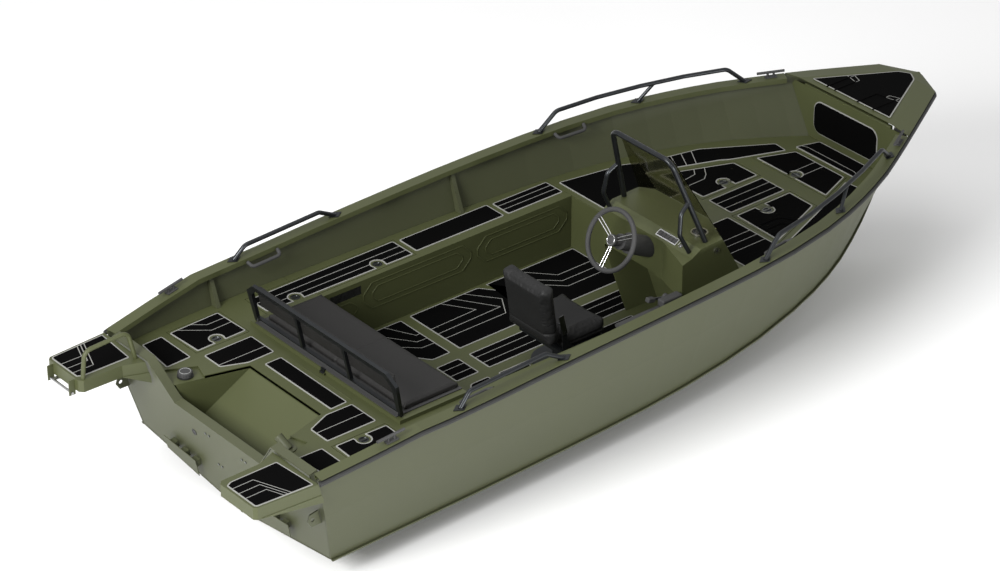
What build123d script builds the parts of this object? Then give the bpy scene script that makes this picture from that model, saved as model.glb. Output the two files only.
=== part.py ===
"""Open aluminium motor boat with a starboard side console, built plate by plate.

Each sub-part is written to parts/NODE.step in millimetres. The working frame has +X towards the bow,
+Y to port and +Z up, with x = 0 at the foot of the transom and z = 0 under the keel plates. The stored
frame has its origin under the middle of the boat, on the surface that the keel stands on.
"""

from build123d import *
import os
from math import cos, hypot, radians, sin

os.makedirs("parts", exist_ok=True)

# ---------------------------------------------------------------- driving dimensions, millimetres
PLATE = 5.0                 # hull bottom, side and transom plate
SHEET = 4.0                 # decks, lockers, caps and console sheet
PAD = 3.5                   # foam deck pads
GAP = 1.0                   # weld gap between neighbouring plates
RAKE = 0.2324               # aft lean of the transom, run over rise
RAKE_END = 600.0            # station where the frames are upright again
KEEL_BAR = 12.0             # depth of the keel bar below the plates, and its width
CHINE_END = 4700.0          # station where the chine runs into the stem
SHOULDER = 4804.0           # station where the blunt bow facets begin
BOW_TIP = 4909.0
FOREDECK_AFT = 4313.0
BULKHEAD_BOW = 4322.0
SHEER_KNEE = 470.0          # station where the gunwale starts to drop aft

FLOOR = 287.0               # top of the cockpit floor
DECK = 618.0                # top of the side lockers, aft deck and bow deck
LOCKER = 628.0              # inner face of the side lockers, off the centreline
COCKPIT_AFT = 990.0
COCKPIT_FORE = 2793.0
NOSE = 4904.0               # station where the rubber rails meet round the bow
RUBBER = 13.0               # stand-off of the rubber rail
CAP_WIDTH = 72.0
CAP_LIP = 30.0

WELL_TOP = [(313.0, 308.0), (66.0, 377.0), (-76.0, 413.0), (-220.0, 449.0)]
RECESS = [(66.0, 377.0), (98.0, 476.0), (-50.0, 551.0), (-110.0, 551.0), (-110.0, 422.0), (-76.0, 413.0)]
FILLER = (0.0, 452.0)
RECESS_DROP = 12.0
LEDGE_HALF, LEDGE_TOP = 372.0, 530.0
NOTCH_HALF, TRANSOM_TOP = 535.0, 728.0
TRANSOM_CORE = 50.0         # thickness of the transom where the engine clamps
CAP_BAND = 45.0             # width of the cap along the transom's top edge

PLATFORM_TOP = 712.0
PLATFORM_SKIRT = 70.0
PLATFORM_AFT = -545.0
AFT_END = -580.0            # ladder brackets behind the platform

CONSOLE_PORT, CONSOLE_STBD = 86.0, -638.0
CONSOLE_TOP = 897.0
CONSOLE_MID = (66.0 - 595.0) / 2
WHEEL_CENTRE = (2295.0, -276.0, 906.0)
WHEEL_RADIUS = 168.0
WHEEL_TUBE = 13.0
WHEEL_TILT = 27.0           # lean of the wheel's plane from upright, degrees
HELM_X, HELM_Y = 1948.0, -271.0
SEAT_HALF = 185.0
SEAT_PIVOT = (1815.0, 600.0)
BENCH_PIVOT = (587.0, 650.0)
BENCH_HINGE = (1004.0, 641.0)
LATCH_RADIUS = 28.0
LADDER_HINGE = (-566.0, 627.0)

# Offsets along the hull, as (station, value): plan, sheer, chine and keel.
HALF_BEAM = [(0, 935), (303, 978), (470, 996), (700, 1003), (1377, 1004), (2000, 1002), (2400, 994),
             (2802, 976), (3169, 936), (3473, 870), (3880, 727), (4140, 598), (4431, 440), (4804, 228)]
SHEER = [(470, 814), (700, 820), (1377, 850), (2100, 874), (2802, 890), (3473, 912), (4097, 939),
         (4431, 952), (4909, 957)]
CHINE_HALF = [(0, 828), (845, 815), (1511, 805), (2067, 790), (2523, 763), (2992, 712), (3420, 632),
              (3722, 545), (4101, 372), (4450, 178), (4740, 8)]
CHINE_RISE = [(0, 143), (845, 147), (1511, 157), (2067, 169), (2523, 190), (2992, 225), (3420, 277),
              (3722, 330), (4101, 425), (4450, 560), (4740, 684)]
KEEL_RISE = [(0, 0), (2900, 0), (3500, 14), (4000, 75), (4350, 200), (4600, 430), (4750, 690),
             (4850, 860), (4909, 957)]

STATIONS = [0.0, 240.0, 470.0, 600.0] + [900.0 + 300.0 * i for i in range(9)]
STATIONS += [3500.0 + 150.0 * i for i in range(9)]
BOW_STATIONS = [4750.0, 4804.0, 4850.0, 4888.0]


# ---------------------------------------------------------------- shape helpers
def smooth(offsets, s):
    """Value of a fair curve through (station, value) offsets, without overshoot."""
    if s <= offsets[0][0]:
        return offsets[0][1]
    if s >= offsets[-1][0]:
        return offsets[-1][1]
    slopes = [(b[1] - a[1]) / (b[0] - a[0]) for a, b in zip(offsets, offsets[1:])]
    tangents = [slopes[0]]
    for left, right in zip(slopes, slopes[1:]):
        tangents.append(2 * left * right / (left + right) if left * right > 0 else 0.0)
    tangents.append(slopes[-1])
    i = max(k for k in range(len(slopes)) if offsets[k][0] <= s)
    (s0, v0), (s1, v1) = offsets[i], offsets[i + 1]
    h = s1 - s0
    t = (s - s0) / h
    return ((1 + 2 * t) * (1 - t) ** 2 * v0 + t * (1 - t) ** 2 * h * tangents[i]
            + t * t * (3 - 2 * t) * v1 - t * t * (1 - t) * h * tangents[i + 1])


def half_beam(s):
    """Outer half breadth of the gunwale cap, with straight facets in front of the shoulders."""
    if s > SHOULDER:
        return HALF_BEAM[-1][1] * (BOW_TIP - s) / (BOW_TIP - SHOULDER)
    return smooth(HALF_BEAM, s)


def sheer(s):
    """Height of the gunwale cap's top."""
    if s < SHEER_KNEE:
        return TRANSOM_TOP + (SHEER[0][1] - TRANSOM_TOP) * s / SHEER_KNEE
    return smooth(SHEER, s)


def at_station(s, z):
    """Lengthwise place of a point at height z on a station that leans with the transom."""
    return s - RAKE * max(0.0, 1 - s / RAKE_END) * z


def side_thickness(s):
    """Breadthwise thickness of the side plate, which grows as the side turns in towards the bow."""
    slope = (half_beam(s + 5) - half_beam(s - 5)) / 10 if 5 < s < BOW_TIP - 5 else 0.0
    return PLATE * hypot(1, slope)


def bottom_thickness(s):
    """Upright thickness of the bottom plate, which grows where the bow steepens."""
    keel, chine, rise = smooth(KEEL_RISE, s), smooth(CHINE_HALF, s), smooth(CHINE_RISE, s)
    return PLATE * hypot(1, (rise - keel) / (chine - 7.0))


def side_line(s):
    """Outer (y, z) points of the side plate at a station: chine or stem, knuckle and gunwale."""
    if s <= CHINE_END:
        low = (smooth(CHINE_HALF, s), smooth(CHINE_RISE, s) + bottom_thickness(s) + GAP)
    else:
        low = (8.0, smooth(KEEL_RISE, s) + 6)
    top = (half_beam(s) - 12.5, sheer(s) - SHEET - GAP)
    bulge = 12.0 * max(0.0, 1 - s / CHINE_END)
    knuckle = (low[0] + 0.55 * (top[0] - low[0]) + bulge, low[1] + 0.55 * (top[1] - low[1]))
    return [low, knuckle, top]


def inner_side(x, z, clear=3.0):
    """Half breadth inside the side plate at place x and height z, less a clearance."""
    s = x if x >= RAKE_END else (x + RAKE * z) / (1 + RAKE * z / RAKE_END)
    low, knuckle, top = side_line(s)
    a, b = (low, knuckle) if z < knuckle[1] else (knuckle, top)
    y = a[0] + (b[0] - a[0]) * (z - a[1]) / (b[1] - a[1])
    return y - side_thickness(s) - clear


def block(x0, x1, y0, y1, z0, z1):
    """Box between two corners."""
    return Pos((x0 + x1) / 2, (y0 + y1) / 2, (z0 + z1) / 2) * Box(x1 - x0, y1 - y0, z1 - z0)


def polygon(points):
    """Flat face through plane points."""
    return make_face(Polyline(*[(p[0], p[1]) for p in points], close=True))


def slab(points, z0, z1):
    """Plan outline raised from z0 to z1."""
    return extrude(Plane.XY.offset(z0) * polygon(points), z1 - z0)


def side_slab(points, y0, y1):
    """Outline in x and z, carried across from y0 to y1."""
    return extrude(Plane.XZ.offset(-y1) * polygon(points), y1 - y0)


def cross_slab(points, x0, x1):
    """Outline in y and z, carried forward from x0 to x1."""
    return extrude(Plane.YZ.offset(x0) * polygon(points), x1 - x0)


def inset(points, distance):
    """Plan outline with every edge moved inwards by a distance, or outwards if it is negative."""
    area = sum(a[0] * b[1] - b[0] * a[1] for a, b in zip(points, points[1:] + points[:1]))
    turn = distance if area > 0 else -distance
    lines = []
    for (x0, y0), (x1, y1) in zip(points, points[1:] + points[:1]):
        length = hypot(x1 - x0, y1 - y0)
        ux, uy = (x1 - x0) / length, (y1 - y0) / length
        lines.append((x0 - uy * turn, y0 + ux * turn, ux, uy))
    corners = []
    for (px, py, ux, uy), (qx, qy, vx, vy) in zip(lines[-1:] + lines[:-1], lines):
        t = ((qx - px) * vy - (qy - py) * vx) / (ux * vy - uy * vx)
        corners.append((px + ux * t, py + uy * t))
    return corners


def mirrored(shape):
    """The same piece on the other side of the boat."""
    return mirror(shape, about=Plane.XZ)


def both(shape):
    """A piece and its twin on the other side."""
    return [shape, mirrored(shape)]


def other_side(points):
    """Plan outline on the other side of the boat."""
    return [(x, -y) for x, y in reversed(points)]


def strip(sections):
    """Ruled solid through closed sections of space points."""
    faces = [Face(Wire.make_polygon([Vector(*p) for p in section], close=True)) for section in sections]
    return loft(faces, ruled=True)


def sheet(points, thickness):
    """Flat sheet through space points, thickened along its normal."""
    face = Face(Wire.make_polygon([Vector(*p) for p in points], close=True))
    return extrude(face, thickness)


def tube(points, radius, bend):
    """Bent round bar along space points."""
    path = FilletPolyline(*points, radius=bend) if len(points) > 2 else Line(*points)
    return sweep(Plane(origin=path @ 0, z_dir=path % 0) * Circle(radius), path)


def rod(start, end, radius):
    """Straight round bar between two space points."""
    axis = Vector(*end) - Vector(*start)
    return extrude(Plane(origin=start, z_dir=axis) * Circle(radius), axis.length)


def rounded(shape, radius, axis=None):
    """Piece with all its edges, or those along one axis, rounded."""
    edges = shape.edges() if axis is None else shape.edges().filter_by(axis)
    return fillet(edges, radius)


def middle():
    """Lengthwise middle of the boat, between the ladder's tail and the rubber at the nose."""
    (x, _, _), (nx, _) = gunwale_frame(NOSE)
    return (AFT_END + x - nx * RUBBER) / 2


def save(node, *solids):
    """Writes one sub-part, moved into the stored frame."""
    pieces = [piece for solid in solids for piece in solid.solids()]
    shape = pieces[0] if len(pieces) == 1 else Compound(children=pieces)
    export_step(Pos(-middle(), 0, KEEL_BAR) * shape, f"parts/{node}.step")


def transom_plane(inward=0.0):
    """Plane of the transom's outer face, moved inwards, with y across and z up the face."""
    lean = hypot(1, RAKE)
    return Plane(origin=(inward * lean, 0, 0), x_dir=(0, -1, 0), z_dir=(-1 / lean, 0, -RAKE / lean))


def up_transom(points):
    """Outline given by y and height, laid out on the raked transom plane."""
    lean = hypot(1, RAKE)
    return [(-y, z * lean) for y, z in points]


def inside_of_transom(inward):
    """Everything forward of the transom plane moved inwards."""
    return extrude(transom_plane(inward) * Rectangle(4000, 6000), -4000)


# ---------------------------------------------------------------- hull plates
def hull_bottom():
    """V bottom: one plate each side, from the keel bar out to the chine."""
    sections = []
    for s in STATIONS:
        keel, chine, rise = smooth(KEEL_RISE, s), smooth(CHINE_HALF, s), smooth(CHINE_RISE, s)
        inner = 7.0
        thick = bottom_thickness(s)
        corners = [(inner, keel), (chine, rise), (chine, rise + thick), (inner, keel + thick)]
        sections.append([(at_station(s, z), y, z) for y, z in corners])
    save("bottom_plates", *both(strip(sections)))


def hull_sides():
    """Side plates with one knuckle, from the chine up to the gunwale cap."""
    sections = []
    for s in STATIONS + BOW_STATIONS:
        outer = side_line(s)
        thick = side_thickness(s)
        inner = [(max(y - thick, 1.0), z) for y, z in reversed(outer)]
        sections.append([(at_station(s, z), y, z) for y, z in outer + inner])
    save("side_plates", *both(strip(sections)))


def keel_and_chines():
    """Keel and stem bar on the centreline, and a small rail along each chine."""
    line = [(s, smooth(KEEL_RISE, s)) for s in [4.0, 1500.0, 2900.0, 3300.0] + STATIONS[13:] + BOW_STATIONS]
    outer, inner = [], []
    for i, (x, z) in enumerate(line):
        before, after = line[max(i - 1, 0)], line[min(i + 1, len(line) - 1)]
        run, rise = after[0] - before[0], after[1] - before[1]
        length = hypot(run, rise)
        outer.append((x + KEEL_BAR * rise / length, z - KEEL_BAR * run / length))
        inner.append((x, z))
    bar = side_slab(outer + inner[::-1], -KEEL_BAR / 2, KEEL_BAR / 2)
    sections = []
    for s in [s for s in STATIONS if s < 4600]:
        y, z = smooth(CHINE_HALF, s) + GAP, smooth(CHINE_RISE, s)
        corners = [(y, z - 6), (y + 14, z - 3), (y + 14, z + 4.5), (y, z + 4.5)]
        sections.append([(at_station(s, h), w, h) for w, h in corners])
    save("keel_and_chine_rails", bar, *both(strip(sections)))


def transom():
    """Raked transom plate with the engine notch, its thick core and the cap along its top edge."""
    foot = [(8, 7.5), (819, 151), (884, 464)]
    top = [(912, 692), (845, 692), (845, TRANSOM_TOP - 5), (NOTCH_HALF, TRANSOM_TOP - 5),
           (LEDGE_HALF, LEDGE_TOP - 5)]
    port = foot + top
    outline = port + [(-y, z) for y, z in reversed(port)]
    plate = extrude(transom_plane(GAP) * polygon(up_transom(outline)), -PLATE)
    core = [(430, 330), (430, 560), (LEDGE_HALF, LEDGE_TOP - 5)]
    core = core + [(-y, z) for y, z in reversed(core)]
    pad = extrude(transom_plane(GAP + PLATE) * polygon(up_transom(core)), -(TRANSOM_CORE - PLATE))
    band_top = [(858, TRANSOM_TOP), (NOTCH_HALF, TRANSOM_TOP), (LEDGE_HALF, LEDGE_TOP)]
    band_top = band_top + [(-y, z) for y, z in reversed(band_top)]
    band = band_top + [(y, z - 6) for y, z in reversed(band_top)]
    cap = extrude(transom_plane(-5) * polygon(up_transom(band)), -(CAP_BAND + 5))
    save("transom", plate + pad + cap)


def gunwale_frame(s):
    """Outer cap point at a station, and the inward direction square to the gunwale in plan."""
    x, y, z = at_station(s, sheer(s)), half_beam(s), sheer(s)
    ahead, behind = half_beam(s + 5), half_beam(max(s - 5, 0))
    slope = (ahead - behind) / (5 + min(s, 5))
    length = hypot(1, slope)
    return (x, y, z), (slope / length, -1 / length)


def along_gunwale(profile, stations):
    """Solid with a profile of (inward, up) points carried along the gunwale."""
    sections = []
    for s in stations:
        (x, y, z), (nx, ny) = gunwale_frame(s)
        sections.append([(x + nx * d, y + ny * d, z + h) for d, h in profile])
    return strip(sections)


def gunwale():
    """Folded cap along each gunwale, and the rubber rail outside it."""
    cap = [(0, 0), (CAP_WIDTH, 0), (CAP_WIDTH, -CAP_LIP), (CAP_WIDTH - 14, -CAP_LIP),
           (CAP_WIDTH - 14, -CAP_LIP + SHEET), (CAP_WIDTH - SHEET, -CAP_LIP + SHEET),
           (CAP_WIDTH - SHEET, -SHEET), (0, -SHEET)]
    stations = [9.0] + [s for s in STATIONS if 0 < s < FOREDECK_AFT] + [FOREDECK_AFT - 6]
    save("gunwale_caps", *both(along_gunwale(cap, stations)))
    rail = [(6, -8), (-8, -8), (-RUBBER, -15), (-RUBBER, -25), (-8, -32), (6, -32)]
    stations = STATIONS + [4750.0, SHOULDER - 8, SHOULDER + 8, 4850.0, NOSE]
    save("rub_rails", *both(along_gunwale(rail, stations)))


def foredeck():
    """Crowned foredeck that closes the blunt bow, and the bulkhead under its aft edge."""
    sections = []
    for s, rise in ((FOREDECK_AFT, 968), (4431.0, 970), (4560.0, 971), (4680.0, 972), (SHOULDER, 972),
                    (4868.0, 966), (4905.0, 961)):
        edge, crown = half_beam(s), max(half_beam(s) * 1.09 - 170, 5.0)
        crown = min(crown, edge * 0.75)
        low = sheer(s)
        top = [(edge, low), (crown, rise), (-crown, rise), (-edge, low)]
        sections.append([(s, y, z) for y, z in top + [(y, z - SHEET) for y, z in reversed(top)]])
    x = BULKHEAD_BOW
    port = [(inner_side(x, z, 6), z) for z in (DECK + GAP, 760.0, 900.0)] + [(430.0, 930.0)]
    bulkhead = cross_slab(port + [(-y, z) for y, z in reversed(port)], x, x + SHEET)
    save("foredeck", strip(sections), bulkhead)


# ---------------------------------------------------------------- inside structure
def frames():
    """Floor frames with stringers between them, and the gussets that hold the hull sides."""
    solids = []
    stringer_y = 300.0
    places = [300.0, 750.0, 1250.0, 1750.0, 2250.0, 2750.0]
    for x in places:
        keel, chine, rise = (smooth(t, x) for t in (KEEL_RISE, CHINE_HALF, CHINE_RISE))
        top = FLOOR - SHEET - GAP
        port = [(chine - 14, rise + PLATE + 4), (inner_side(x, top, 4), top)]
        outline = [(0, keel + PLATE + 5)] + port + [(-y, z) for y, z in reversed(port)]
        solids.append(cross_slab(outline, x - SHEET / 2, x + SHEET / 2))
    for x0, x1 in zip(places, places[1:]):
        z = smooth(CHINE_RISE, x1) * stringer_y / smooth(CHINE_HALF, x1) + PLATE + 6
        beam = block(x0 + SHEET, x1 - SHEET, stringer_y - 4, stringer_y + 4, z, FLOOR - SHEET - GAP)
        solids += both(beam)
    for x, top in ((528.0, 778.0), (2185.0, 838.0)):
        foot_y, head_y = inner_side(x, DECK + GAP, 4), inner_side(x, top, 4)
        gusset = [(foot_y, DECK + GAP), (head_y, top), (head_y - 20, top), (foot_y - 50, DECK + GAP)]
        solids += both(cross_slab(gusset, x - 12, x + 12))
    save("hull_frames", *solids)


def deck_edge(x0, x1, z=DECK, step=150.0):
    """Port outline points of a deck that runs out to the hull side."""
    count = max(2, round((x1 - x0) / step))
    xs = [x0 + (x1 - x0) * i / count for i in range(count + 1)]
    return [(x, inner_side(x, z, 6)) for x in xs]


LIDS = {
    "hatch_aft_port": [(168, 588), (508, 588), (508, 855), (168, 855)],
    "hatch_locker_port": [(690, 668), (1700, 668), (1700, 870), (690, 870)],
    "hatch_bow_port": [(3331, 124), (3775, 124), (3775, 340), (3331, 508)],
    "hatch_bow_forward": [(3886, -304), (4140, -206), (4140, 206), (3886, 304)],
}
LIDS["hatch_aft_starboard"] = other_side(LIDS["hatch_aft_port"])
LIDS["hatch_bow_starboard"] = other_side(LIDS["hatch_bow_port"])
LATCHES = {
    "latch_aft_port": ("hatch_aft_port", (333, 637), 0, 43),
    "latch_aft_starboard": ("hatch_aft_starboard", (333, -637), 0, 43),
    "latch_locker_aft": ("hatch_locker_port", (912, 718), 0, 44),
    "latch_locker_fore": ("hatch_locker_port", (1471, 718), 0, 44),
    "latch_bow_port": ("hatch_bow_port", (3560, 198), 0, 68),
    "latch_bow_starboard": ("hatch_bow_starboard", (3530, -198), 0, 68),
    "latch_bow_forward": ("hatch_bow_forward", (3938, 0), 90, 46),
}
LID_GAP = 4.0
LEDGE_IN = 14.0


def with_hatches(deck, names):
    """Deck with an opening and a drained ledge for each named hatch lid."""
    for name in names:
        lid = LIDS[name]
        ledge = slab(inset(lid, -LID_GAP - 6), DECK - 14, DECK) - slab(inset(lid, -LID_GAP), DECK - 4.6, DECK + 1)
        deck = deck - slab(inset(lid, -LID_GAP), DECK - 20, DECK + 1) + ledge
        deck = deck - slab(inset(lid, LEDGE_IN), DECK - 20, DECK + 1)
    return deck


def decks():
    """Cockpit floor, side lockers, bow deck and aft deck."""
    floor = block(COCKPIT_AFT + GAP, COCKPIT_FORE - SHEET - GAP, -LOCKER + 2, LOCKER - 2, FLOOR - SHEET, FLOOR)
    save("cockpit_floor", floor)

    edge = deck_edge(COCKPIT_AFT + GAP, COCKPIT_FORE - GAP)
    top = [(COCKPIT_AFT + GAP, LOCKER)] + edge + [(COCKPIT_FORE - GAP, LOCKER)]
    wall = block(COCKPIT_AFT + GAP, COCKPIT_FORE - GAP, LOCKER, LOCKER + SHEET, FLOOR - SHEET, DECK - SHEET)
    plain = slab(top, DECK - SHEET, DECK) + wall
    rod_slot = block(1075, 1290, LOCKER - 1, LOCKER + SHEET + 1, 535, 590)
    bench_notch = block(900, COCKPIT_AFT + GAP, 0, 0.001 + LOCKER, 0, 1)
    port = with_hatches(slab(top, DECK - SHEET, DECK), []) + wall - rod_slot - bench_notch
    lid = LIDS["hatch_locker_port"]
    fore_lid = [(max(x, COCKPIT_AFT + GAP), y) for x, y in lid]
    ring = slab(inset(lid, -LID_GAP - 6), DECK - 14, DECK) - slab(inset(lid, -LID_GAP), DECK - 4.6, DECK + 1)
    hole = slab(inset(lid, LEDGE_IN), DECK - 20, DECK + 1)
    seat = slab(inset(lid, -LID_GAP), DECK - 4.6, DECK + 1)
    fore_half = block(COCKPIT_AFT + GAP, 3000, -2000, 2000, -50, 2000)
    port = (port - slab(inset(lid, -LID_GAP), DECK - 20, DECK + 1) + (ring & fore_half)) - seat - hole
    save("side_lockers", port, mirrored(plain))

    edge = deck_edge(COCKPIT_FORE + GAP, BULKHEAD_BOW - GAP, step=130.0)
    bow = slab(edge + other_side(edge), DECK - SHEET, DECK)
    bow = with_hatches(bow, ["hatch_bow_port", "hatch_bow_starboard", "hatch_bow_forward"])
    front = block(COCKPIT_FORE - SHEET, COCKPIT_FORE, -LOCKER + 2, LOCKER - 2, FLOOR - SHEET, DECK - SHEET - GAP)
    foot = block(COCKPIT_FORE, COCKPIT_FORE + GAP + 2, -LOCKER + 2, LOCKER - 2, DECK - 30, DECK - SHEET)
    save("bow_deck", bow + (front + foot))

    edge = deck_edge(-110.0, COCKPIT_AFT - GAP)
    port = [WELL_TOP[0]] + RECESS[:4] + edge
    outline = port + other_side(port)
    aft = slab(outline, DECK - SHEET, DECK)
    hollow = [(60, 350)] + RECESS[:3] + [(-140, 551), (-140, 380)]
    for points, open_part in ((RECESS, hollow), (other_side(RECESS), other_side(hollow))):
        tray = slab(inset(points, -SHEET), DECK - RECESS_DROP - SHEET, DECK)
        tray = tray - slab(open_part, DECK - RECESS_DROP, DECK + 1)
        aft = aft + (tray - block(-200, 200, -370, 370, 0, 1000))
    aft = with_hatches(aft, ["hatch_aft_port", "hatch_aft_starboard"])
    aft = aft - slab(inset(lid, -LID_GAP), DECK - 20, DECK + 1)
    aft_half = block(0, COCKPIT_AFT - GAP, -2000, 2000, -50, 2000)
    aft = (aft + (ring & aft_half)) - seat - hole
    aft = aft - block(620, 940, -540, 540, DECK - 20, DECK + 1)
    bulkhead = block(COCKPIT_AFT - GAP - SHEET, COCKPIT_AFT - GAP, -LOCKER + 2, LOCKER - 2, FLOOR - SHEET, DECK - SHEET)
    aft = (aft + bulkhead) & inside_of_transom(CAP_BAND + 2)
    for side in (1, -1):
        aft = aft - Pos(FILLER[0], side * FILLER[1], DECK) * Cylinder(30, 80)
    save("aft_deck", aft)


def motor_well():
    """Self-draining well under the engine: two side walls, a sloping front and a floor."""
    top = DECK - RECESS_DROP - SHEET - GAP
    outline = WELL_TOP + other_side(WELL_TOP)
    walls = slab(outline, 330, top) - slab(inset(outline, SHEET), 320, top + 1)
    above = [(400, 700), (400, 620), (305, top), (20, 358), (-260, 340), (-260, 700)]
    wall = walls & side_slab(above, -500, 500)
    slope = [(305, top), (20, 358), (-260, 340), (-260, 336), (22, 354), (311.2, top)]
    inside = side_slab(slope, -500, 500) & slab(inset(outline, 1), 300, 700)
    save("motor_well", (wall + inside) & inside_of_transom(TRANSOM_CORE + GAP + 2))


def swim_platforms():
    """Boarding platforms each side of the engine, with folded skirts and gussets."""
    outline = [(-150, 545), (-288, 600), (-525, 604), (PLATFORM_AFT, 626), (PLATFORM_AFT, 896),
               (PLATFORM_AFT + 16, 912), (-150, 938)]
    bottom = PLATFORM_TOP - PLATFORM_SKIRT
    shell = slab(outline, bottom, PLATFORM_TOP) - slab(inset(outline, SHEET), bottom - 1, PLATFORM_TOP - SHEET)
    for (x0, y0), (x1, y1), drop, side in (((-288, 600), (-150, 545), 60, -1),
                                           ((-505, 912.9), (-150, 937.2), 45, 1)):
        corners = [(x0, y0, bottom + 3), (x1, y1, bottom + 3), (x1, y1, bottom - drop), (x0, y0, bottom)]
        shell = shell + sheet(corners, side * SHEET)
    hinge = Pos(LADDER_HINGE[0], 762, LADDER_HINGE[1]) * Rot(90, 0, 0) * Cylinder(8.06, 400)
    ears = block(AFT_END, -542, 660, 666, 613, 700) + block(AFT_END, -542, 858, 864, 613, 700)
    loop = [(-516, 624, PLATFORM_TOP - 2), (-500, 620, PLATFORM_TOP + 158), (-232, 620, PLATFORM_TOP + 172),
            (-193, 618, PLATFORM_TOP - 2)]
    starboard = mirrored(shell) - inside_of_transom(-9)
    port = shell + tube(loop, 12, 48) + (ears - hinge)
    save("swim_platforms", port - inside_of_transom(-9), starboard)


def transom_fittings():
    """Bracket rows and lugs on the transom's face, and the rigging tube in the starboard recess."""
    face = [(275, 102), (540, 152), (545, 232), (272, 207)]
    row = extrude(transom_plane(-34) * polygon(up_transom(face)), 4)
    for y, z in ((300, 190), (395, 200), (490, 209)):
        tooth = [(y - 20, z - 26), (y + 20, z - 22), (y + 20, z + 13), (y - 20, z + 9)]
        row = row + extrude(transom_plane(-2) * polygon(up_transom(tooth)), 34)
    lug = [(-160, 405), (-182, 440), (-168, 478), (-100, 490), (-88, 405)]
    plate = side_slab(lug, 836, 844) - inside_of_transom(-2)
    plate = plate - Pos(-152, 840, 445) * Rot(90, 0, 0) * Cylinder(12, 30)
    low, high = DECK - RECESS_DROP + 0.5, DECK + 42
    neck = Pos(FILLER[0], -FILLER[1], low + 2.5) * Cylinder(38, 5)
    hose = rod((FILLER[0], -FILLER[1], low), (-20, -388, high), 24) & block(-200, 200, -700, 0, low, 900)
    save("transom_fittings", *both(row), *both(plate), neck + hose)


def fuel_system():
    """Fuel tank under the bench with its hose and deck filler, and the filler's cap."""
    x, y = FILLER
    tank = rounded(block(575, 930, -300, 300, 300, 555), 20)
    hose = tube([(x, y, 594), (x, y, 500), (230, 440, 470), (430, 330, 470), (574, 240, 470)], 24, 50)
    neck = Pos(x, y, DECK - RECESS_DROP + 3.3) * Cylinder(44, 6) + Pos(x, y, 600) * Cylinder(26, 12)
    save("fuel_system", tank + hose + neck)
    low = DECK - RECESS_DROP + 7
    cap = Pos(x, y, low + 12) * Cylinder(40, 24)
    cap = chamfer(cap.edges().filter_by(GeomType.CIRCLE).group_by(Axis.Z)[-1], 3)
    for i in range(16):
        cap = cap - turned(x, y, 22.5 * i) * Pos(41, 0, low + 13) * Cylinder(2.5, 30)
    save("fuel_cap", cap)


def turned(x, y, angle):
    """Placement turned about an upright axis."""
    return Pos(x, y, 0) * Rot(0, 0, angle)


# ---------------------------------------------------------------- hatches and latches
def hatches():
    """Flush lids with a stiffener ring below, and a turning flush latch in each."""
    for name, lid in LIDS.items():
        plate = slab(lid, DECK - 4, DECK)
        ring = slab(inset(lid, LEDGE_IN + 6), DECK - 14, DECK - 4) - slab(inset(lid, LEDGE_IN + 12), DECK - 15, DECK - 3)
        solid = plate + ring
        for host, (x, y), _, _ in LATCHES.values():
            if host == name:
                solid = solid - Pos(x, y, DECK - 10) * Cylinder(LATCH_RADIUS + 0.6, 40)
        save(name, solid)
    for name, (_, (x, y), turn, reach) in LATCHES.items():
        body = Pos(0, 0, DECK - 6) * Cylinder(LATCH_RADIUS, 12) - Pos(0, 0, DECK) * Cylinder(LATCH_RADIUS - 5, 10)
        grip = Pos(0, 0, DECK - 2.5) * Box(2 * LATCH_RADIUS - 12, 9, 5)
        stem = Pos(0, 0, DECK - 16) * Cylinder(7, 11)
        tongue = block(-12, reach, -7, 7, DECK - 21.5, DECK - 18.5)
        save(name, turned(x, y, turn) * (body + grip + stem + tongue))


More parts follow.
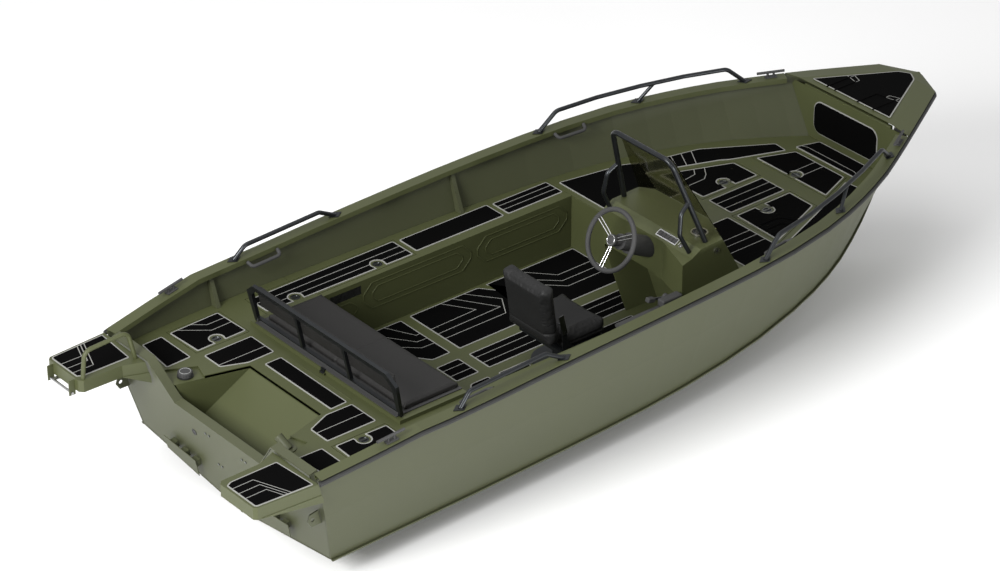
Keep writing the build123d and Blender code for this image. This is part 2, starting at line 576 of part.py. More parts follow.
# ---------------------------------------------------------------- foam pads
def foam_pads():
    """Foam tread pads on the fixed decks, the floor and the platforms."""
    floor_aft = [(1370, 160), (1534, 160), (1534, 607), (1370, 607)]
    floor_main = [(1601, 171), (2783, 171), (2783, 606), (1601, 606)]
    floor_mid = [(1601, -90), (2783, -90), (2783, 90), (1601, 90)]
    floor_mid_aft = [(1370, -90), (1534, -90), (1534, 90), (1370, 90)]
    floor_starboard = [(1601, -606), (2550, -606), (2550, -171), (1601, -171)]
    pads = [slab(p, FLOOR, FLOOR + PAD) for p in (floor_aft, other_side(floor_aft), floor_main, floor_mid,
                                                  floor_mid_aft)]
    pads.append(slab(floor_starboard, FLOOR, FLOOR + PAD) - Pos(HELM_X, HELM_Y, FLOOR) * Cylinder(172, 20))
    bow_side = [(2830, 250), (3300, 250), (3300, 560), (3720, 400), (3760, 372), (4095, 245), (4105, 345),
                (3715, 582), (3385, 655), (3250, 720), (2830, 790)]
    bow_starboard = [(x, -y) for x, y in bow_side[2:-1]] + [(3000, -755), (3000, -120), (3300, -120)]
    decks_port = [[(3347, -100), (3767, -100), (3767, 100), (3347, 100)],
                  [(4165, -245), (4318, -200), (4318, 200), (4165, 245)],
                  [(178, 384), (326, 335), (493, 338), (493, 540), (178, 535)],
                  [(-40, 563), (120, 569), (120, 838), (-12, 833)],
                  [(377, -300), (493, -270), (493, 270), (377, 300)],
                  [(1722, 690), (2350, 690), (2350, 850), (1722, 850)],
                  [(2380, 690), (2780, 690), (2780, 840), (2380, 840)]]
    decks_starboard = [other_side(decks_port[2]), other_side(decks_port[3]),
                       [(1030, -850), (1700, -850), (1700, -676), (1030, -676)],
                       [(1722, -850), (2010, -850), (2010, -690), (1722, -690)]]
    pads += [slab(p, DECK, DECK + PAD) for p in decks_port + decks_starboard]
    pads += [slab(p, DECK, DECK + PAD) for p in (bow_side, bow_starboard)]
    platform = [(-214, 640), (-284, 644), (-498, 644), (-532, 656), (-532, 884), (-515, 900), (-195, 922)]
    pads += both(slab(platform, PLATFORM_TOP, PLATFORM_TOP + PAD))
    panel = extrude(Plane.YZ.offset(BULKHEAD_BOW) * Pos(0, 770) * RectangleRounded(520, 210, 60), -8)
    pads.append(panel)
    fore = [(4350, -318), (4798, -68), (4838, 0), (4798, 68), (4350, 318)]
    pads.append(slab(fore, 972.5, 972.5 + PAD))
    save("foam_pads", *pads)


# ---------------------------------------------------------------- deck hardware
def cleat(place):
    """Mooring cleat: a base, two legs and a long horn bar."""
    base = Pos(0, 0, 3.9) * Box(70, 34, 5)
    legs = Pos(18, 0, 18) * Cylinder(7, 24) + Pos(-18, 0, 18) * Cylinder(7, 24)
    horn = Pos(0, 0, 33) * Rot(0, 90, 0) * Cylinder(8, 164)
    return place * (base + legs + horn)


def rail_base(place):
    """Diamond base plate of a grab rail."""
    return extrude(place.offset(1.4) * polygon([(44, 0), (0, 31), (-44, 0), (0, -31)]), 4)


def cap_point(s, inward, up):
    """Point over the gunwale cap."""
    (x, y, z), (nx, ny) = gunwale_frame(s)
    return (x + nx * inward, y + ny * inward, z + up)


def on_cap(s, inward):
    """Plane lying on the gunwale cap, with x along the gunwale."""
    start, end = Vector(*cap_point(s - 40, inward, 0)), Vector(*cap_point(s + 40, inward, 0))
    along = end - start
    across = Vector(-along.Y, along.X, 0)
    return Plane(origin=(start + end) / 2, x_dir=along, z_dir=along.cross(across))


def rail_on_cap(bars, feet, inward):
    """Rail bars welded to a base plate at each foot, and trimmed level with the bases."""
    rail = bars[0]
    for bar in bars[1:]:
        rail = rail + bar
    for s in feet:
        place = on_cap(s, inward)
        rail = rail - place * Pos(0, 0, -38.6) * Box(160, 110, 80)
        rail = rail + rail_base(place)
    return rail


def hardware():
    """Cleats, grab rails and the loop handles under the gunwale."""
    pieces = both(cleat(on_cap(345, 34))) + both(cleat(on_cap(4230, 30)))

    foot, rail = 36.0, 46.0
    bends = [cap_point(693, foot, 0), cap_point(762, rail, 68), cap_point(1262, rail, 68),
             cap_point(1377, foot, 0)]
    rails = both(rail_on_cap([tube(bends, 12.5, 45)], (693, 1377), foot))

    bends = [cap_point(2810, foot, 0), cap_point(2925, rail, 104), cap_point(3200, rail + 3, 106),
             cap_point(3473, rail + 8, 106), cap_point(3740, rail + 6, 104), cap_point(3990, rail, 98),
             cap_point(4090, foot, 0)]
    leg = rod(cap_point(3473, foot, 0), cap_point(3560, rail + 6, 98), 10)
    rails += both(rail_on_cap([tube(bends, 12.5, 60), leg], (2810, 3473, 4090), foot))
    save("grab_rails", *rails)

    for s in (850.0, 2990.0):
        loop = [cap_point(s - 100, 81, -16), cap_point(s - 92, 118, -34), cap_point(s + 92, 118, -34),
                cap_point(s + 100, 81, -16)]
        pieces += both(tube(loop, 10, 24))
    save("deck_hardware", *pieces)


# ---------------------------------------------------------------- stern bench
def bench():
    """Stern bench: base frame, tilting seat, seat cushion, folding backrest and the rear latch."""
    base = block(560, 1000, -645, 645, DECK + 0.5, 640) - block(620, 940, -540, 540, DECK - 1, 641)
    trunk = block(600, 960, -560, 560, DECK + 0.5, 640) - block(620, 940, -540, 540, DECK - 1, 641)
    ears = block(545, 561, 18, 22, DECK + 0.5, 632) + block(545, 561, -22, -18, DECK + 0.5, 632)
    ears = ears - rod((550, -30, 626), (550, 30, 626), 2.55)
    save("bench_base", base + trunk + ears)
    lid = block(566, BENCH_HINGE[0] - 6, -606, 606, 641, 646)
    ears = block(576, 598, -606, -600, 645, 656) + block(576, 598, 600, 606, 645, 656)
    for y0, y1 in ((-606, -600), (600, 606)):
        ears = ears + rod((BENCH_PIVOT[0], y0, BENCH_PIVOT[1] + 6), (BENCH_PIVOT[0], y1, BENCH_PIVOT[1] + 6), 11)
    bore = Pos(BENCH_PIVOT[0], 0, BENCH_PIVOT[1] + 6) * Rot(90, 0, 0) * Cylinder(5.05, 1300)
    save("bench_seat_board", (lid + ears) - bore)
    cushion = rounded(block(628, 998, -596, 596, 646.3, 676), 9)
    save("bench_cushion", cushion)

    lean = Vector(-51, 0, 251).normalized()
    plane = Plane(origin=(BENCH_PIVOT[0], 0, BENCH_PIVOT[1] + 6), x_dir=(0, 1, 0), z_dir=lean.cross(Vector(0, 1, 0)))
    sign = 1 if plane.y_dir.Z > 0 else -1
    outer = [(-626, -10), (-640, 190), (-572, 248), (572, 248), (640, 190), (626, -10)]
    frame = extrude(plane * polygon([(y, sign * v) for y, v in outer]), 10, both=True)
    for y0, y1 in ((-600, -214), (-194, 194), (214, 600)):
        bay = [(y0, 22), (y0, 176 if y0 < -590 else 220), (y0 + 50, 220), (y1 - 50, 220),
               (y1, 176 if y1 > 590 else 220), (y1, 22)]
        frame = frame - extrude(plane * polygon([(y, sign * v) for y, v in bay]), 12, both=True)
    slot = extrude(plane * Pos(0, sign * -1) * Rectangle(1216, 30), 12, both=True)
    frame = frame - slot
    pins = [rod((BENCH_PIVOT[0], y0, BENCH_PIVOT[1] + 6), (BENCH_PIVOT[0], y1, BENCH_PIVOT[1] + 6), 5)
            for y0, y1 in ((598, 616), (-616, -598))]
    frame = frame + pins[0] + pins[1]
    save("bench_back_frame", frame)
    front = 1 if (plane.z_dir.X > 0) else -1
    pad = extrude(plane * Pos(0, sign * 158) * RectangleRounded(1170, 132, 18), front * 40)
    pad = Location(plane.z_dir * (front * 10.3)) * pad
    save("bench_back_cushion", rounded(pad, 8))

    plate = block(553, 557, -16, 16, 622, 650) + block(556, 562, -16, 16, 646, 650)
    barrel = rod((550, -16, 626), (550, 16, 626), 4) + rod((550, -24, 626), (550, 24, 626), 2.5)
    save("bench_latch", plate + barrel)


# ---------------------------------------------------------------- helm seat
def helm_seat():
    """Helm seat on a turning pedestal, with a folding back on side hinges."""
    foot = Pos(HELM_X, HELM_Y, FLOOR + 4) * Cylinder(160, 8)
    column = Pos(HELM_X, HELM_Y, FLOOR + 80) * Cylinder(45, 160)
    save("seat_pedestal", foot + column - Pos(HELM_X, HELM_Y, FLOOR + 120) * Cylinder(20.06, 120))

    bearing = Pos(HELM_X, HELM_Y, 451) * Cylinder(70, 7) + Pos(HELM_X, HELM_Y, 405) * Cylinder(20, 90)
    board = Pos(0, 0, 460) * slab([(1800, HELM_Y - 170), (2100, HELM_Y - 170), (2100, HELM_Y + 170),
                                   (1800, HELM_Y + 170)], -5.5, 12)
    frame = bearing + board
    px, pz = SEAT_PIVOT
    arm = [(px - 16, pz - 4), (px - 8, pz + 15), (px + 10, pz + 15), (px + 20, pz - 50), (px + 60, 492),
           (2070, 484), (2080, 458), (px + 6, 458), (px - 14, 500)]
    for side in (1, -1):
        y = HELM_Y + side * (SEAT_HALF + 5)
        plate = side_slab(arm, y - 1.5, y + 1.5)
        lip = block(px + 20, 2060, min(HELM_Y + side * 168, y), max(HELM_Y + side * 168, y), 458, 462)
        pin = rod((px, y - side * 1.5, pz), (px, y + side * 9, pz), 5)
        frame = frame + plate + lip + pin
    save("seat_frame", frame)
    cushion = block(1822, 2120, HELM_Y - SEAT_HALF + 2, HELM_Y + SEAT_HALF - 2, 472.5, 584)
    save("seat_cushion", rounded(cushion, 24))

    back = [(1722, 520), (1812, 534), (1757, 905), (1665, 893)]
    pad = side_slab(back, HELM_Y - SEAT_HALF + 2, HELM_Y + SEAT_HALF - 2)
    save("seat_back_cushion", rounded(pad, 22))
    hinges = []
    for side in (1, -1):
        y = HELM_Y + side * (SEAT_HALF + 10)
        leaf = [(px - 13, pz - 13), (px + 15, pz - 8), (px + 8, pz + 20), (px - 14, pz + 112), (px - 46, pz + 108),
                (px - 30, pz + 30)]
        plate = side_slab(leaf, y - 1.5, y + 1.5) - Pos(px, y, pz) * Rot(90, 0, 0) * Cylinder(5.05, 8)
        reach = (HELM_Y + side * (SEAT_HALF - 2), y)
        bolts = [rod((px - 34, reach[0], pz + h), (px - 34, reach[1], pz + h), 5) for h in (60, 92)]
        hinges.append(plate + bolts[0] + bolts[1])
    save("seat_back_hinges", *hinges)


# ---------------------------------------------------------------- console
CONSOLE_FOOT = [(2559, 86), (2559, -400), (2489, -638), (2935, -638), (2975, -420), (2975, 10), (2925, 86)]
CONSOLE_HEAD = [(2559, 86), (2559, -400), (2489, -638), (2775, -638), (2873, -420), (2866, 6), (2812, 86)]
DASH_LINE = [(2489, 836), (2559, 855), (2619, 890), (2775, 897)]


def console():
    """Sheet console with a sloping dash, a knee opening and a slanted footwell wall."""
    def body(wall, low, high, drop):
        head = CONSOLE_HEAD if wall == 0 else inset(CONSOLE_HEAD, wall)
        feet = CONSOLE_FOOT if wall == 0 else inset(CONSOLE_FOOT, wall)
        shell = loft([Plane.XY.offset(low) * polygon(feet), Plane.XY.offset(high) * polygon(head)], ruled=True)
        bevel = [(2300, 1100), (2300, DASH_LINE[0][1] - drop)] + [(x, z - drop) for x, z in DASH_LINE]
        return shell - side_slab(bevel + [(2775, 1100)], -800, 300)

    outer = body(0, DECK + 0.5, CONSOLE_TOP, 0)
    inner = body(SHEET, DECK - 6, CONSOLE_TOP - SHEET, SHEET + 1)
    shell = outer - inner
    shell = shell - block(2540, 2580, -330, 75, DECK - 10, 634)
    shell = shell - Pos(2730, -503, CONSOLE_TOP) * Cylinder(43.3, 30)
    shell = shell - Pos(2735, CONSOLE_STBD, 841) * Rot(90, 0, 0) * Cylinder(10.5, 30)
    port_wall = [(CONSOLE_PORT, DECK - 1), (-105, FLOOR + 1), (-110, FLOOR + 1), (CONSOLE_PORT - 5, DECK - 1)]
    wall = cross_slab(port_wall, 2562, COCKPIT_FORE - SHEET - 1)
    save("console_shell", shell, wall)

    cup = Pos(2730, -503, 868) * Cylinder(43, 60) + Pos(2730, -503, CONSOLE_TOP + 2) * Cylinder(48, 3)
    save("cup_holder", cup - Pos(2730, -503, 875) * Cylinder(40, 68))


def dash_frame(along, y):
    """Place on the sloping dash strip: x across the strip upwards, z out of it."""
    (x0, z0), (x1, z1) = DASH_LINE[1], DASH_LINE[2]
    run = Vector(x1 - x0, 0, z1 - z0).normalized()
    out = run.cross(Vector(0, 1, 0))
    if out.Z < 0:
        out = out * -1
    origin = Vector(x0, y, z0) + run * along
    return Plane(origin=origin, x_dir=run, z_dir=out)


def switches():
    """Switch panel with its rockers, the ignition key, and the power socket on the console's side."""
    place = dash_frame(35, -407)
    bezel = extrude(place.offset(0.2) * RectangleRounded(44, 160, 5), 6)
    bezel = bezel - extrude(place.offset(1.2) * Rectangle(31, 148), 8)
    for i in range(5):
        spot = dash_frame(35, -407 + 59 - 29.5 * i)
        save(f"rocker_switch_{i + 1}", extrude(spot.offset(2.6) * Rectangle(27, 26), 6))
    lock = dash_frame(28, -520)
    barrel = extrude(lock.offset(0.2) * Circle(12), 7) - extrude(lock.offset(2) * Circle(4.6), 8)
    key = extrude(lock.offset(2.3) * Circle(4.5), 7) + extrude(lock.offset(9.3) * Rectangle(22, 4), 18)
    save("ignition_key", key)
    side = Plane(origin=(2735, CONSOLE_STBD - 0.2, 841), x_dir=(1, 0, 0), z_dir=(0, -1, 0))
    socket = extrude(side * Circle(19), 4) + extrude(side.offset(-22) * Circle(10), 24)
    socket = socket - extrude(side.offset(-18) * Circle(7.5), 30)
    save("switch_panel", bezel, barrel, socket)


def windshield():
    """Tube hoop with its two hand grips, and the folded screen in front of it."""
    port_y, head = 66.0, (2510.0, 1400.0)
    hoop = [(2688, port_y, CONSOLE_TOP - 1), (head[0], port_y - 96, head[1]),
            (head[0], 2 * CONSOLE_MID - port_y + 96, head[1]), (2688, 2 * CONSOLE_MID - port_y, CONSOLE_TOP - 1)]
    frame = tube(hoop, 15, 62)
    for side in (0, 1):
        grip = [(2600, 21, 1146), (2536, 34, 1104), (2518, 47, 985), (2578, 60, 866)]
        if side:
            grip = [(x, 2 * CONSOLE_MID - y, z) for x, y, z in grip]
        frame = frame + tube(grip, 12.5, 40)
    keep_out = side_slab([(2400, 700)] + [(x, z + 0.6) for x, z in DASH_LINE] + [(2900, 897.6), (2900, 700)], -700, 200)
    save("windshield_frame", frame - keep_out)

    top_z, top_x, top_y = 1392.0, 2545.0, 218.0
    low = [(2812, 84), (2873, 6), (2873, -420), (2785, -612)]
    z = CONSOLE_TOP + 4
    port_top, stbd_top = (top_x, CONSOLE_MID + top_y, top_z), (top_x, CONSOLE_MID - top_y, top_z)
    centre = sheet([(low[1][0], low[1][1], z), (low[2][0], low[2][1], z), stbd_top, port_top], 4)
    port = sheet([(low[0][0], low[0][1], z), (low[1][0], low[1][1], z), port_top], 4)
    stbd = sheet([(low[2][0], low[2][1], z), (low[3][0], low[3][1], z), stbd_top], 4)
    save("windshield_screen", centre + port + stbd)


def steering():
    """Steering wheel with a round rim, three pairs of spokes and a hub, on its tilted helm unit."""
    tilt = radians(WHEEL_TILT)
    axis = Vector(-cos(tilt), 0, sin(tilt))
    face = Plane(origin=WHEEL_CENTRE, x_dir=(0, 1, 0), z_dir=axis)
    up = 1 if face.y_dir.Z > 0 else -1
    rim = face * Torus(WHEEL_RADIUS, WHEEL_TUBE)
    hub = extrude(face.offset(-26) * Circle(34), 30)
    wheel = rim + hub
    for angle in (90, 210, 330):
        for side in (-9, 9):
            spoke = Pos(92, side, -6) * Box(150, 6, 4)
            wheel = wheel + face * Rot(0, 0, up * angle) * spoke
    save("steering_wheel", wheel)
    reach = 254.0
    shaft_end = face.offset(-26.4)
    column = extrude(shaft_end * Circle(22), -(reach - 30))
    boot = extrude(face.offset(-70) * Circle(44), -70)
    bezel = extrude(face.offset(-140) * Circle(58), -(reach - 140 + 60))
    helm = (column + boot + bezel) & block(2000, 2558.5, -400, -100, 500, 1100)
    save("helm_unit", helm)


def controls():
    """Engine control on the starboard locker: side tray, control box and lever."""
    tray = block(2036, 2484, -672, -612, DECK + 0.5, DECK + 22)
    tray = chamfer(tray.edges().filter_by(Axis.X), 6)
    box = rounded(block(2330, 2470, -668, -616, DECK + 22, DECK + 66), 10)
    save("control_box", tray + box)
    pivot = (2400.0, -602.0, DECK + 44)
    boss = rod((pivot[0], -615.5, pivot[2]), (pivot[0], -598, pivot[2]), 20)
    arm = side_slab([(2390, DECK + 50), (2290, DECK + 74), (2286, DECK + 62), (2388, DECK + 34)], -607, -598)
    grip = rounded(side_slab([(2318, DECK + 74), (2270, DECK + 86), (2264, DECK + 60), (2312, DECK + 48)], -622, -590), 6)
    save("throttle_lever", boss + arm + grip)


def ladder():
    """Folding ladder stowed under the port platform."""
    x, z = LADDER_HINGE
    bar = rod((x, 652, z), (x, 872, z), 8)
    rails = [rod((x, y, z), (x + 300, y, z - 6), 11) for y in (690, 834)]
    steps = [rod((x + d, 690, z - 6 * d / 300), (x + d, 834, z - 6 * d / 300), 9) for d in (95, 190, 288)]
    solid = bar
    for part in rails + steps:
        solid = solid + part
    save("boarding_ladder", solid)


hull_bottom()
hull_sides()
keel_and_chines()
transom()
gunwale()
foredeck()
frames()
decks()
motor_well()
swim_platforms()
transom_fittings()
fuel_system()
hatches()
foam_pads()
hardware()
bench()
helm_seat()
console()
switches()
windshield()
steering()
controls()
ladder()
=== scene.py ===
"""Open aluminium fishing boat with a helm console to starboard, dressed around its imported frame."""
import logging
import math
from dataclasses import dataclass, field
from enum import Enum

import bpy
from bpy.types import Material, Object
from mathutils import Matrix, Vector


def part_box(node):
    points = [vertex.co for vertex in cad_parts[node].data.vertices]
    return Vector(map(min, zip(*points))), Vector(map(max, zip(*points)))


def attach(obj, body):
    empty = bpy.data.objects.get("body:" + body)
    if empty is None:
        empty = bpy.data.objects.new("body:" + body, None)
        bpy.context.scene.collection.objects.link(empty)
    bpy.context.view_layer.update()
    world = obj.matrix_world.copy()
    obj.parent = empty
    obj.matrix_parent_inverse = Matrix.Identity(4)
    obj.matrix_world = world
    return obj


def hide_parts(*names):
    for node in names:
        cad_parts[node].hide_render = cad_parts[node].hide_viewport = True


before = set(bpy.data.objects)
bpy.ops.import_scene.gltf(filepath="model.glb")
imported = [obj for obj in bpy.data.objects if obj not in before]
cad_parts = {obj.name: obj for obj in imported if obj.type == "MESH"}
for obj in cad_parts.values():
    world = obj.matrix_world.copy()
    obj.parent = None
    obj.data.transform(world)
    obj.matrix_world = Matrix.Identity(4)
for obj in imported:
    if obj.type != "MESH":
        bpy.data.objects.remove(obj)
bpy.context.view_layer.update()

ORIGIN_AFT = 2167.904   # millimetres from the middle of the row frame back to the foot of the transom
KEEL_DEPTH = 12.0       # millimetres of keel bar below the bottom plates
FLOOR_TOP = 287.0
DECK_TOP = 618.0
PLATFORM_TOP = 712.0
RAKE = 0.2324           # aft lean of the transom, run over rise
SEAM_WIDTH = 0.007      # metres over which a sewn channel draws the cover in
SETTLE_FRAMES = 20      # frames of cloth simulation for a cushion
log = logging.getLogger("boat")

Point = tuple[float, float]


# ------------------------------------------------------------------ places
def spot(along: float, across: float, up: float) -> Vector:
    """A place in the boat, in the row frame.

    Args:
        along: millimetres forward of the foot of the transom.
        across: millimetres to port of the centreline.
        up: millimetres above the bottom plates at the keel.

    Returns:
        The same place in metres.
    """
    return Vector(((along - ORIGIN_AFT) / 1000, across / 1000, (up + KEEL_DEPTH) / 1000))


def linear(red: int, green: int, blue: int) -> tuple[float, float, float, float]:
    """Turns a colour of 0 to 255 levels into the linear values that a shader takes."""
    def one(level: int) -> float:
        """One channel of the colour."""
        share = level / 255
        return share / 12.92 if share <= 0.04045 else ((share + 0.055) / 1.055) ** 2.4
    return (one(red), one(green), one(blue), 1.0)


def to_starboard(points: list[Point]) -> list[Point]:
    """The same outline on the other side of the centreline."""
    return [(x, -y) for x, y in points]


# ------------------------------------------------------------------ the modelling bench
def put_down() -> None:
    """Leaves edit mode and deselects everything."""
    if bpy.context.object and bpy.context.object.mode != "OBJECT":
        bpy.ops.object.mode_set(mode="OBJECT")
    bpy.ops.object.select_all(action="DESELECT")


def pick_up(obj: Object) -> Object:
    """Selects one object alone and makes it active."""
    put_down()
    obj.select_set(True)
    bpy.context.view_layer.objects.active = obj
    return obj


def freeze(obj: Object) -> Object:
    """Puts an object's place, turn and size into its mesh."""
    pick_up(obj)
    bpy.ops.object.transform_apply(location=True, rotation=True, scale=True)
    return obj


def finish_edit(obj: Object) -> None:
    """Turns all faces outwards and leaves edit mode."""
    bpy.ops.mesh.select_all(action="SELECT")
    bpy.ops.mesh.normals_make_consistent(inside=False)
    bpy.ops.object.mode_set(mode="OBJECT")


def plate(name: str, corners: list[Vector], thickness: Vector, radius: float = 0.0, steps: int = 3) -> Object:
    """A flat plate of any outline.

    Args:
        name: the new object's name.
        corners: the outline's corners in order, in metres.
        thickness: the way and distance that the plate is extruded.
        radius: the rounding of its corners in plan.
        steps: the segments in each rounded corner.

    Returns:
        The closed plate.
    """
    put_down()
    bpy.ops.mesh.primitive_circle_add(vertices=len(corners), radius=0.1, fill_type="NGON")
    obj = bpy.context.object
    obj.name = name
    for vertex, corner in zip(obj.data.vertices, corners):
        vertex.co = corner
    bpy.ops.object.mode_set(mode="EDIT")
    bpy.ops.mesh.select_all(action="SELECT")
    if radius:
        bpy.ops.mesh.bevel(offset=radius, segments=steps, affect="VERTICES")
        bpy.ops.mesh.select_all(action="SELECT")
    bpy.ops.mesh.extrude_region_move(TRANSFORM_OT_translate={"value": thickness})
    finish_edit(obj)
    return obj


def block(name: str, low: Vector, high: Vector, soften: float = 0.0, steps: int = 2) -> Object:
    """A box between two corners, with all its edges rounded."""
    put_down()
    bpy.ops.mesh.primitive_cube_add(size=1, location=(low + high) / 2, scale=high - low)
    obj = bpy.context.object
    obj.name = name
    freeze(obj)
    if soften:
        bpy.ops.object.mode_set(mode="EDIT")
        bpy.ops.mesh.select_all(action="SELECT")
        bpy.ops.mesh.bevel(offset=soften, segments=steps, affect="EDGES")
        finish_edit(obj)
    return obj


def rod(name: str, start: Vector, end: Vector, radius: float, sides: int = 24, soften: float = 0.0) -> Object:
    """A round bar from one place to another, with softened ends."""
    put_down()
    way = end - start
    bpy.ops.mesh.primitive_cylinder_add(vertices=sides, radius=radius, depth=way.length, location=(start + end) / 2,
                                        rotation=way.to_track_quat("Z", "Y").to_euler())
    obj = bpy.context.object
    obj.name = name
    freeze(obj)
    if soften:
        round_edges(obj, soften)
    return obj


def ring(name: str, centre: Vector, axis: Vector, radius: float, wire: float, sides: int = 64) -> Object:
    """A round ring of wire about an axis."""
    put_down()
    bpy.ops.mesh.primitive_torus_add(location=centre, rotation=axis.to_track_quat("Z", "Y").to_euler(),
                                     major_radius=radius, minor_radius=wire, major_segments=sides,
                                     minor_segments=14)
    obj = bpy.context.object
    obj.name = name
    return freeze(obj)


def wire(name: str, points: list[Vector], radius: float, closed: bool = False) -> Object:
    """A round bar that follows a smooth line of points, made a mesh."""
    put_down()
    line = bpy.data.curves.new(name, "CURVE")
    line.dimensions = "3D"
    line.bevel_depth = radius
    line.bevel_resolution = 3
    line.resolution_u = 6
    line.use_fill_caps = True
    run = line.splines.new("NURBS")
    run.points.add(len(points) - 1)
    for knot, place in zip(run.points, points):
        knot.co = (*place, 1)
    run.order_u = 3
    run.use_endpoint_u = not closed
    run.use_cyclic_u = closed
    obj = bpy.data.objects.new(name, line)
    bpy.context.scene.collection.objects.link(obj)
    pick_up(obj)
    bpy.ops.object.convert(target="MESH")
    obj = bpy.context.object
    bpy.ops.object.mode_set(mode="EDIT")
    finish_edit(obj)
    return obj


def join(name: str, parts: list[Object]) -> Object:
    """Joins pieces of one make into a single object."""
    put_down()
    for part in parts:
        part.select_set(True)
    bpy.context.view_layer.objects.active = parts[0]
    bpy.ops.object.join()
    parts[0].name = name
    parts[0].data.name = name
    return parts[0]


def cut(obj: Object, tool: Object) -> Object:
    """Cuts one solid out of another and throws the cutter away."""
    pick_up(obj)
    step = obj.modifiers.new("cut", "BOOLEAN")
    step.operation, step.object, step.solver, step.use_self = "DIFFERENCE", tool, "EXACT", True
    bpy.ops.object.modifier_apply(modifier=step.name)
    bpy.data.objects.remove(tool)
    return obj


def round_edges(obj: Object, width: float, steps: int = 2, angle: float = 40.0) -> Object:
    """Rounds the edges that are sharper than an angle, and applies it."""
    pick_up(obj)
    step = obj.modifiers.new("round", "BEVEL")
    step.width, step.segments, step.limit_method, step.angle_limit = width, steps, "ANGLE", math.radians(angle)
    bpy.ops.object.modifier_apply(modifier=step.name)
    return obj


def smooth(obj: Object, angle: float = 35.0) -> Object:
    """Shades an object smoothly up to an angle between faces."""
    pick_up(obj)
    bpy.ops.object.shade_smooth_by_angle(angle=math.radians(angle))
    return obj


def duplicate(obj: Object, name: str, move: Matrix) -> Object:
    """A copy with its own mesh, moved by a matrix."""
    twin = obj.copy()
    twin.data = obj.data.copy()
    twin.name = name
    bpy.context.scene.collection.objects.link(twin)
    twin.data.transform(move)
    if move.determinant() < 0:
        twin.data.flip_normals()
    return twin


def ribbon(points: list[Point], width: float) -> list[Point]:
    """The outline of a line of some width that turns at mitred corners.

    Args:
        points: the line's corners, in millimetres.
        width: its width, in millimetres.

    Returns:
        The outline's corners in order.
    """
    left: list[Point] = []
    right: list[Point] = []
    for i, (x, y) in enumerate(points):
        before = Vector(points[i]) - Vector(points[i - 1]) if i else None
        after = Vector(points[i + 1]) - Vector(points[i]) if i < len(points) - 1 else None
        ways = [way.normalized() for way in (before, after) if way is not None]
        sides = [Vector((-way.y, way.x)) for way in ways]
        middle = sum(sides, Vector((0.0, 0.0))).normalized()
        reach = width / 2 / max(0.3, middle.dot(sides[0]))
        left.append((x + middle.x * reach, y + middle.y * reach))
        right.append((x - middle.x * reach, y - middle.y * reach))
    return left + right[::-1]


# ------------------------------------------------------------------ finishes
class Texture(Enum):
    """How the surface of a finish is broken up."""

    POWDER = "powder"
    FOAM = "foam"
    HIDE = "hide"
    BRUSHED = "brushed"
    MOULDED = "moulded"
    CLEAR = "clear"


